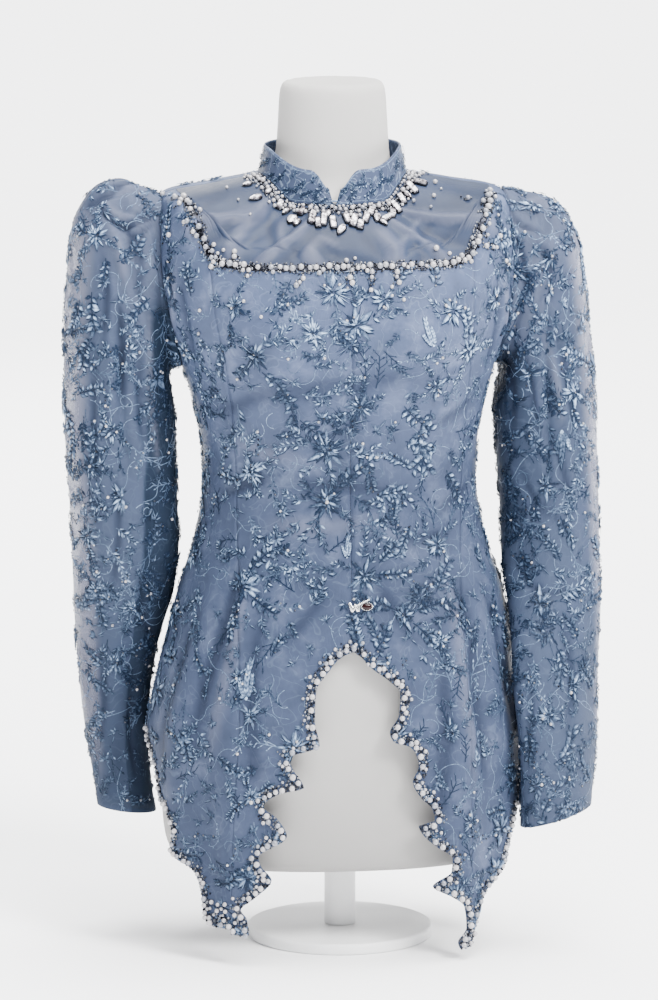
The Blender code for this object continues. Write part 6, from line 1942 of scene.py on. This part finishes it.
def toned_material(name, dark, middle, light, **constants):
    """Finish whose colour runs over three tones by the piece's own tone attribute."""
    mat, tree, shader = new_material(name, **constants)
    grain = noise(tree, object_coordinates(tree), 420, Detail=2)
    tone = math_node(tree, "ADD", attribute(tree, "tone"), remap(tree, grain, 0.3, 0.7, -0.12, 0.12))
    low = mix_colours(tree, remap(tree, tone, 0.12, 0.5), dark, middle)
    full = mix_colours(tree, remap(tree, tone, 0.5, 1), low, light)
    # the thread gets the same painted highlight and shade by height
    if name == "embroidery_thread":
        full = by_height(tree, full, PAINTED_LIGHT_LEVELS, THREAD_PAINTED_LIGHT)
    tree.links.new(full, shader.inputs["Base Color"])
    return mat


def plain_material(name, tone, scale, spread, bumpiness, **constants):
    """Finish of one colour that drifts a little, with a fine grain."""
    mat, tree, shader = new_material(name, **constants)
    place = object_coordinates(tree)
    dark, light = around(tone, 1 - spread, 1 + spread)
    base = placed(tree, mottle, Vector=place, Scale=scale, Dark=dark, Base=tone, Light=light)
    # painted shade on the form's cover, darker towards the bottom
    if name == "form_cloth":
        base = by_height(tree, base, FORM_SHADE_LEVELS, FORM_SHADE_SHARES)
    tree.links.new(base, shader.inputs["Base Color"])
    bump(tree, shader, noise(tree, place, 900, Detail=3), bumpiness, 0.0003)
    return mat


def crystal_material():
    """Cut stones: cells of painted dark and bright reflections, standing for facets that mirror what is
    round them.
    """
    mat, tree, shader = new_material("crystal", Roughness=0.14, Metallic=0.35)
    cells = add_node(tree, "TexVoronoi", Vector=object_coordinates(tree), Scale=400)
    bright = add_node(tree, "SeparateColor", Color=cells.outputs["Color"]).outputs[0]
    mixed = mix_colours(tree, remap(tree, bright, 0.2, 0.66), CRYSTAL_DARK_REFLECTION, CRYSTAL_BRIGHT_REFLECTION)
    tree.links.new(mixed, shader.inputs["Base Color"])
    return mat


FINISHES = {
    "cloth": cloth_material,
    "sleeve": sleeve_material,
    "yoke": lambda: satin_material("kebaya_yoke", colour("yoke"), 0, 30),
    "collar": lambda: satin_material("kebaya_collar", colour("cloth"), 0.28, 80),
    "thread": lambda: toned_material(
        "embroidery_thread", colour("thread_dark"), colour("thread_mid"), colour("thread_pale"),
        Roughness=0.4, Specular_IOR_Level=0.09),
    "pearl": lambda: toned_material("pearl", PEARL_GREY, colour("pearl"), colour("pearl"),
                                    Roughness=0.22, Coat_Weight=0.6, Coat_Roughness=0.14),
    "bead": lambda: toned_material("silver_bead", BEAD_DARK, colour("bead"), BEAD_LIGHT,
                                   Roughness=0.28, Metallic=0.85),
    "crystal": crystal_material,
    "silver": lambda: plain_material("clasp_silver", SILVER, 80, 0.08, 0.05, Roughness=0.2,
                                     Metallic=1),
    "stone": lambda: plain_material("clasp_stone", STONE, 60, 0.15, 0, Roughness=0.12,
                                    Specular_IOR_Level=0.25),
    "form": lambda: plain_material("form_cloth", colour("form"), 9, 0.045, 0.35, Roughness=0.72),
    "stand": lambda: plain_material("stand_finish", STAND, 20, 0.02, 0.05, Roughness=0.4),
    "floor": lambda: plain_material("floor_paper", FLOOR, 0.6, 0.006, 0, Roughness=0.85),
}


@functools.cache
def shared_material(name):
    """The material of that name, made on first use."""
    return FINISHES[name]()


# ---------------------------------------------------------------- settings
def size_property(name, description, default, precision=5):
    return bpy.props.FloatProperty(name=name, description=description, default=default,
                                   unit="LENGTH", precision=precision)


class KebayaSizes(bpy.types.PropertyGroup):
    """Sizes of the blouse's cloth, beads and embroidery."""

    cloth_wall: size_property("Cloth wall", "Thickness of the embroidered cloth", CLOTH)
    sheer_wall: size_property("Organza wall", "Thickness of the sleeves' cloth", SHEER)
    collar_wall: size_property("Collar wall", "Thickness of the collar", COLLAR_CLOTH)
    pearl_radius: size_property("Pearl radius", "Radius of the edge pearls", 0.0029)
    bead_radius: size_property("Bead radius", "Radius of the small beads", 0.0012)
    filler_gap: size_property("Sprig spacing", "Least distance between small sprigs", FILLER_GAP, 4)


def colour_property(name, description, *default):
    return bpy.props.FloatVectorProperty(name=name, description=description, default=default,
                                         subtype="COLOR", size=3, min=0, max=1)


class KebayaColours(bpy.types.PropertyGroup):
    """Colours of the blouse and its form."""

    cloth: colour_property("Cloth", "Ground of the embroidered cloth", 0.042, 0.056, 0.099)
    cloth_light: colour_property("Cloth, light", "Lightest drift", 0.072, 0.091, 0.15)
    cloth_dark: colour_property("Cloth, dark", "Darkest drift", 0.034, 0.045, 0.078)
    yoke: colour_property("Yoke", "Satin of the yoke and collar", 0.021, 0.03, 0.056)
    sleeve: colour_property("Sleeve", "Organza of the sleeves", 0.04, 0.054, 0.091)
    # also the colour of the painted highlight on the ridges of creases
    sheer: colour_property("Sleeve edge", "Organza where it is sheer", 0.225, 0.235, 0.315)
    thread_pale: colour_property("Thread, pale", "Palest thread", 0.37, 0.5, 0.7)
    thread_mid: colour_property("Thread, middle", "Middle thread", 0.078, 0.116, 0.188)
    thread_dark: colour_property("Thread, dark", "Darkest thread", 0.007, 0.014, 0.031)
    pearl: colour_property("Pearl", "Pearls", 0.365, 0.352, 0.362)
    bead: colour_property("Bead", "Small metal beads", 0.052, 0.054, 0.064)
    form: colour_property("Form", "Cover of the dress form", 0.465, 0.453, 0.438)


# ---------------------------------------------------------------- operators
class Step:
    bl_options = {"REGISTER", "UNDO"}


class KEBAYA_OT_stage(Step, bpy.types.Operator):
    """Floor, camera, soft lights and pale surroundings"""

    bl_idname = "kebaya.stage"
    bl_label = "Stage"

    def execute(self, context):
        bpy.ops.object.camera_add()
        camera = context.object
        camera.name = "camera"
        eye, ahead = seen_at(VIEW_WIDTH / 2, VIEW_HEIGHT / 2)
        camera.location = eye
        camera.rotation_euler = ahead.to_track_quat("-Z", "Y").to_euler()
        camera.data.sensor_width = SENSOR * 1000
        camera.data.lens = SENSOR * 1000 * VIEW_DISTANCE / (VIEW_HEIGHT * VIEW_UNIT)
        camera.data.clip_end = 100
        context.scene.camera = camera

        bpy.ops.mesh.primitive_plane_add(size=FLOOR_SIZE)
        floor = context.object
        floor.name = "floor"
        floor.data.materials.append(shared_material("floor"))

        for name, kind, place, size, power in LIGHTS:
            bpy.ops.object.light_add(type=kind, location=place)
            light = context.object
            light.name = name
            light.data.energy = power
            setattr(light.data, "angle" if kind == "SUN" else "size", size)
            aim = Vector(LIGHT_AIM) - Vector(place)
            light.rotation_euler = aim.to_track_quat("-Z", "Y").to_euler()
        world = bpy.data.worlds.new("surroundings")
        world.use_nodes = True
        background = world.node_tree.nodes["Background"]
        background.inputs["Color"].default_value = WORLD_COLOUR
        background.inputs["Strength"].default_value = WORLD_STRENGTH
        context.scene.world = world
        return {"FINISHED"}


class KEBAYA_OT_form(Step, bpy.types.Operator):
    """Limbless dress form with a smooth cover, and its plain stand"""

    bl_idname = "kebaya.form"
    bl_label = "Dress form and stand"

    def execute(self, context):
        cover = joined_copy("form_cover", "dress_form", "form")
        add_modifier(cover, "SUBSURF", levels=1, render_levels=1)
        cover.data.shade_smooth()
        settle(cover, "form", "dress_form")
        for node, segments in (("stand_base", 96), ("stand_pole", 48)):
            low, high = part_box(node)
            bpy.ops.object.select_all(action="DESELECT")
            bpy.ops.mesh.primitive_cylinder_add(vertices=segments, radius=(high.x - low.x) / 2,
                                                depth=high.z - low.z, location=(low + high) / 2)
            made = context.object
            made.name = node.replace("stand", "foot")
            bpy.ops.object.transform_apply(location=True, rotation=False, scale=False)
            add_modifier(made, "BEVEL", width=STAND_BEVEL[node], segments=4, limit_method="ANGLE")
            made.data.materials.append(shared_material("stand"))
            bpy.ops.object.shade_smooth_by_angle(angle=STAND_SMOOTH)
            settle(made, "stand", node)
        return {"FINISHED"}


class KEBAYA_OT_body(Step, bpy.types.Operator):
    """Fronts, side fronts, backs and yoke as thin creased cloth"""

    bl_idname = "kebaya.body"
    bl_label = "Body and yoke"

    def execute(self, context):
        for side in WORDS:
            front_pieces(side)
            back_piece(side)
        yoke_piece()
        return {"FINISHED"}


class KEBAYA_OT_sleeves(Step, bpy.types.Operator):
    """Puffed sleeves of organza with gathers and folds"""

    bl_idname = "kebaya.sleeves"
    bl_label = "Sleeves"

    def execute(self, context):
        for side in WORDS:
            sleeve_piece(side)
        return {"FINISHED"}


class KEBAYA_OT_collar(Step, bpy.types.Operator):
    """Two halves of the stand collar with a stitched line inside their edge"""

    bl_idname = "kebaya.collar"
    bl_label = "Collar"

    def execute(self, context):
        skin = SKINS["collar"]
        work = Needlework(skin, COLLAR_CLOTH / 2, random.Random(SEED + 20))
        for side in WORDS:
            collar_piece(side)
        for side in WORDS:
            for up, width in COLLAR_LINES:
                across = np.linspace(*COLLAR_LINE_SPAN) ** COLLAR_EASE
                points = collar_points(side, across, np.full(len(across), up))
                line = []
                for k, point in enumerate(points):
                    place, normal, _ = skin.nearest(Vector(point))
                    following = points[min(k + 1, len(points) - 1)] - points[max(k - 1, 0)]
                    line.append((place, normal, Vector(following).normalized() * -side))
                work.cord(line, width, 0.5)
            for k in range(COLLAR_SPRIGS):
                across = np.array(((k + 0.6) / COLLAR_SPRIGS) ** COLLAR_EASE)
                point = collar_points(side, across, np.array(0.42 + 0.2 * (k % 2)))
                at = Walker(skin, Vector(point), 60 + 75 * (k % 3))
                (fern, curl, berries)[k % 3](work, at, 0.46, 0.3)
        for name, mesh in (("collar_leaves", work.leaf_mesh("collar_leaves")),
                           ("collar_lines", work.cord_mesh("collar_lines"))):
            settle(new_object(name, mesh, "thread"), "yoke_cloth")
        return {"FINISHED"}


class KEBAYA_OT_embroidery(Step, bpy.types.Operator):
    """Flowers, ferns, branches and tendrils sewn over the body and the sleeves"""

    bl_idname = "kebaya.embroidery"
    bl_label = "Embroidery"

    def execute(self, context):
        pearls, beads = [], []
        for seed, (name, wall, inner, slot) in enumerate((
                ("body", CLOTH, 0, "cloth"), ("sleeve_left", SHEER, -1, "sleeve_cloth"),
                ("sleeve_right", SHEER, 1, "sleeve_cloth"))):
            work = sew_region(name, SKINS[name], wall / 2, inner, seed)
            meshes = {"vines": work.cord_mesh(name + "_vines")}
            if name == "body":
                meshes["front_leaves"] = work.leaf_mesh("front_leaves", lambda p: p.y < SIDE_Y)
                meshes["back_leaves"] = work.leaf_mesh("back_leaves", lambda p: p.y >= SIDE_Y)
            else:
                meshes["leaves"] = work.leaf_mesh(name + "_leaves")
            for word, mesh in meshes.items():
                settle(new_object(f"embroidery_{name}_{word}", mesh, "thread"), slot)
            pearls += work.pearls
            beads += work.beads
        bead_piece("embroidery_pearls", pearls, "pearl", 7, 5)
        bead_piece("embroidery_beads", beads, "bead", 5, 4)
        return {"FINISHED"}


class KEBAYA_OT_edges(Step, bpy.types.Operator):
    """Pearls and beads along the arch, the tails and the back hem"""

    bl_idname = "kebaya.edges"
    bl_label = "Beaded edges"

    def execute(self, context):
        for side in WORDS:
            edge_beads(side)
        return {"FINISHED"}


class KEBAYA_OT_yoke_trim(Step, bpy.types.Operator):
    """Pearls and silver beads along the yoke seam"""

    bl_idname = "kebaya.yoke_trim"
    bl_label = "Yoke trim"

    def execute(self, context):
        skin = SKINS["torso"]
        line = yoke_line()
        backing("yoke_band", "yoke_trim", skin, line, YOKE_BAND * 0.8)
        work = Beading(skin, TRIM_LIFT, 40)
        for x, y, radius in YOKE_PEARLS:
            work.sew(work.pearls, skin.tree.ray_cast(*seen_at(x, y))[0], radius)
        work.strew(work.pearls, line, 0.0072, -0.0018, 0.0018, (0.0024, 0.0034))
        work.strew(work.pearls, line, 0.006, -0.0062, 0.0062, (0.0018, 0.003), chance=0.8)
        for x, y, degrees, length in YOKE_SPRIGS:
            at = Walker(skin, skin.tree.ray_cast(*seen_at(x, y))[0], degrees)
            sprig(work, at.point - at.heading * SPRIG_BACK, at.heading, length)
        for _ in range(8):
            work.strew(work.beads, line, 0.0024, -0.0062, 0.0062, (0.0009, 0.0014))
        work.pieces("yoke")
        return {"FINISHED"}


class KEBAYA_OT_neck_trim(Step, bpy.types.Operator):
    """Ring of pearls round the neck with cut stones hanging from it"""

    bl_idname = "kebaya.neck_trim"
    bl_label = "Neck trim"

    def execute(self, context):
        skin = SKINS["torso"]
        line = neck_line(NECK_BAND_FROM_SEAM + NECK_BAND / 2, NECK_HALF_ARC)
        backing("neck_band", "neck_trim", skin, line, NECK_BAND * 0.75)
        work = Beading(skin, TRIM_LIFT, 50)
        spots = {"cut": [], "drop": []}
        for kind, rows in NECK_STONES.items():
            for x, y, degrees, length, width in rows:
                at = Walker(skin, skin.tree.ray_cast(*seen_at(x, y))[0], degrees)
                spots[kind].append((at.point, at.heading, length, width))
                for share in (-0.35, 0, 0.35):
                    work.block(at.point + at.heading * (share * length) + at.normal * 0.002,
                               width / 2)
        # the step, the band from near to far, the radii and the chance
        for step, near, far, least, most, chance in (
                (0.0058, -0.0012, 0.0012, 0.002, 0.0027, 1),
                (0.0062, -0.007, -0.004, 0.0014, 0.0022, 1),
                (0.009, -0.013, -0.008, 0.0014, 0.0022, 0.6),
                (0.0048, 0.0038, 0.0058, 0.0013, 0.002, 1)):
            work.strew(work.pearls, line, step, near, far, (least, most), chance=chance)
        for _ in range(6):
            work.strew(work.beads, line, 0.0024, -0.009, 0.003, (0.0009, 0.0013))
        work.strew(work.beads, line, 0.0022, 0.0056, 0.0072, (0.0009, 0.0012))
        stones("neck_baguettes", skin, spots["cut"], cut_master())
        stones("neck_drops", skin, spots["drop"], drop_master())
        work.pieces("neck")
        return {"FINISHED"}


class KEBAYA_OT_clasp(Step, bpy.types.Operator):
    """Silver clasp with a red stone at the waist"""

    bl_idname = "kebaya.clasp"
    bl_label = "Clasp"

    def execute(self, context):
        bezel = joined_copy("clasp_frame", "clasp_bezel", "silver", FLAT_FACES)
        add_modifier(bezel, "BEVEL", width=BEZEL_BEVEL, segments=2, limit_method="ANGLE")
        bpy.ops.object.shade_smooth_by_angle(angle=BEZEL_SMOOTH)
        settle(bezel, "silver", "clasp_bezel")
        stone = joined_copy("clasp_cabochon", "clasp_stone", "stone")
        add_modifier(stone, "SUBSURF", levels=2, render_levels=2)
        stone.data.shade_smooth()
        settle(stone, "red_stone", "clasp_stone")

        level = np.array(CLASP_HEIGHT)
        angle = angle_at(level, CLASP_X)
        normal = Vector(torso_normal(level, angle))
        seat = Vector(torso(level, angle)) + normal * CLASP_FACE
        across = Vector((0, 0, 1)).cross(normal).normalized()
        up = normal.cross(across)
        gems = [(seat + across * x + up * y, radius) for x, y, radius in CLASP_GEMS]
        for share in np.linspace(0, 1, CLASP_ARM_STUDS):
            x, y = (a + (b - a) * share for a, b in zip(*CLASP_ARM))
            gems.append((seat + across * x + up * y + normal * CLASP_ARM_RISE, STUD_RADIUS))
        bead_piece("clasp_gems", gems, "silver")
        centre = sum((v.co for v in stone.data.vertices), Vector()) / len(stone.data.vertices)
        ring = [(centre + across * (STONE_RING[0] * math.cos(turn))
                 + up * (STONE_RING[1] * math.sin(turn)) - normal * RING_SINK, RING_STUD_RADIUS)
                for turn in (2 * math.pi * k / RING_STUDS for k in range(RING_STUDS))]
        bead_piece("clasp_setting", ring, "silver", 6, 4)
        return {"FINISHED"}


OPERATORS = (KEBAYA_OT_stage, KEBAYA_OT_form, KEBAYA_OT_body, KEBAYA_OT_sleeves, KEBAYA_OT_collar,
             KEBAYA_OT_embroidery, KEBAYA_OT_edges, KEBAYA_OT_yoke_trim, KEBAYA_OT_neck_trim,
             KEBAYA_OT_clasp)


class KEBAYA_PT_panel(bpy.types.Panel):
    """Settings and steps of the blouse"""

    bl_idname = "KEBAYA_PT_panel"
    bl_label = "Kebaya blouse"
    bl_space_type = "VIEW_3D"
    bl_region_type = "UI"
    bl_category = "Kebaya"

    def draw(self, context):
        layout = self.layout
        for settings in (context.scene.kebaya_sizes, context.scene.kebaya_colours):
            box = layout.box()
            for name in settings.bl_rna.properties.keys():
                if name not in ("rna_type", "name"):
                    box.prop(settings, name)
        for operator in OPERATORS:
            layout.operator(operator.bl_idname)


CLASSES = (KebayaSizes, KebayaColours) + OPERATORS + (KEBAYA_PT_panel,)


def register():
    for cls in CLASSES:
        bpy.utils.register_class(cls)
    bpy.types.Scene.kebaya_sizes = bpy.props.PointerProperty(type=KebayaSizes)
    bpy.types.Scene.kebaya_colours = bpy.props.PointerProperty(type=KebayaColours)


def unregister():
    del bpy.types.Scene.kebaya_colours
    del bpy.types.Scene.kebaya_sizes
    for cls in reversed(CLASSES):
        bpy.utils.unregister_class(cls)


def main():
    register()
    for operator in OPERATORS:
        group, name = operator.bl_idname.split(".")
        getattr(getattr(bpy.ops, group), name)()


if __name__ == "__main__":
    main()
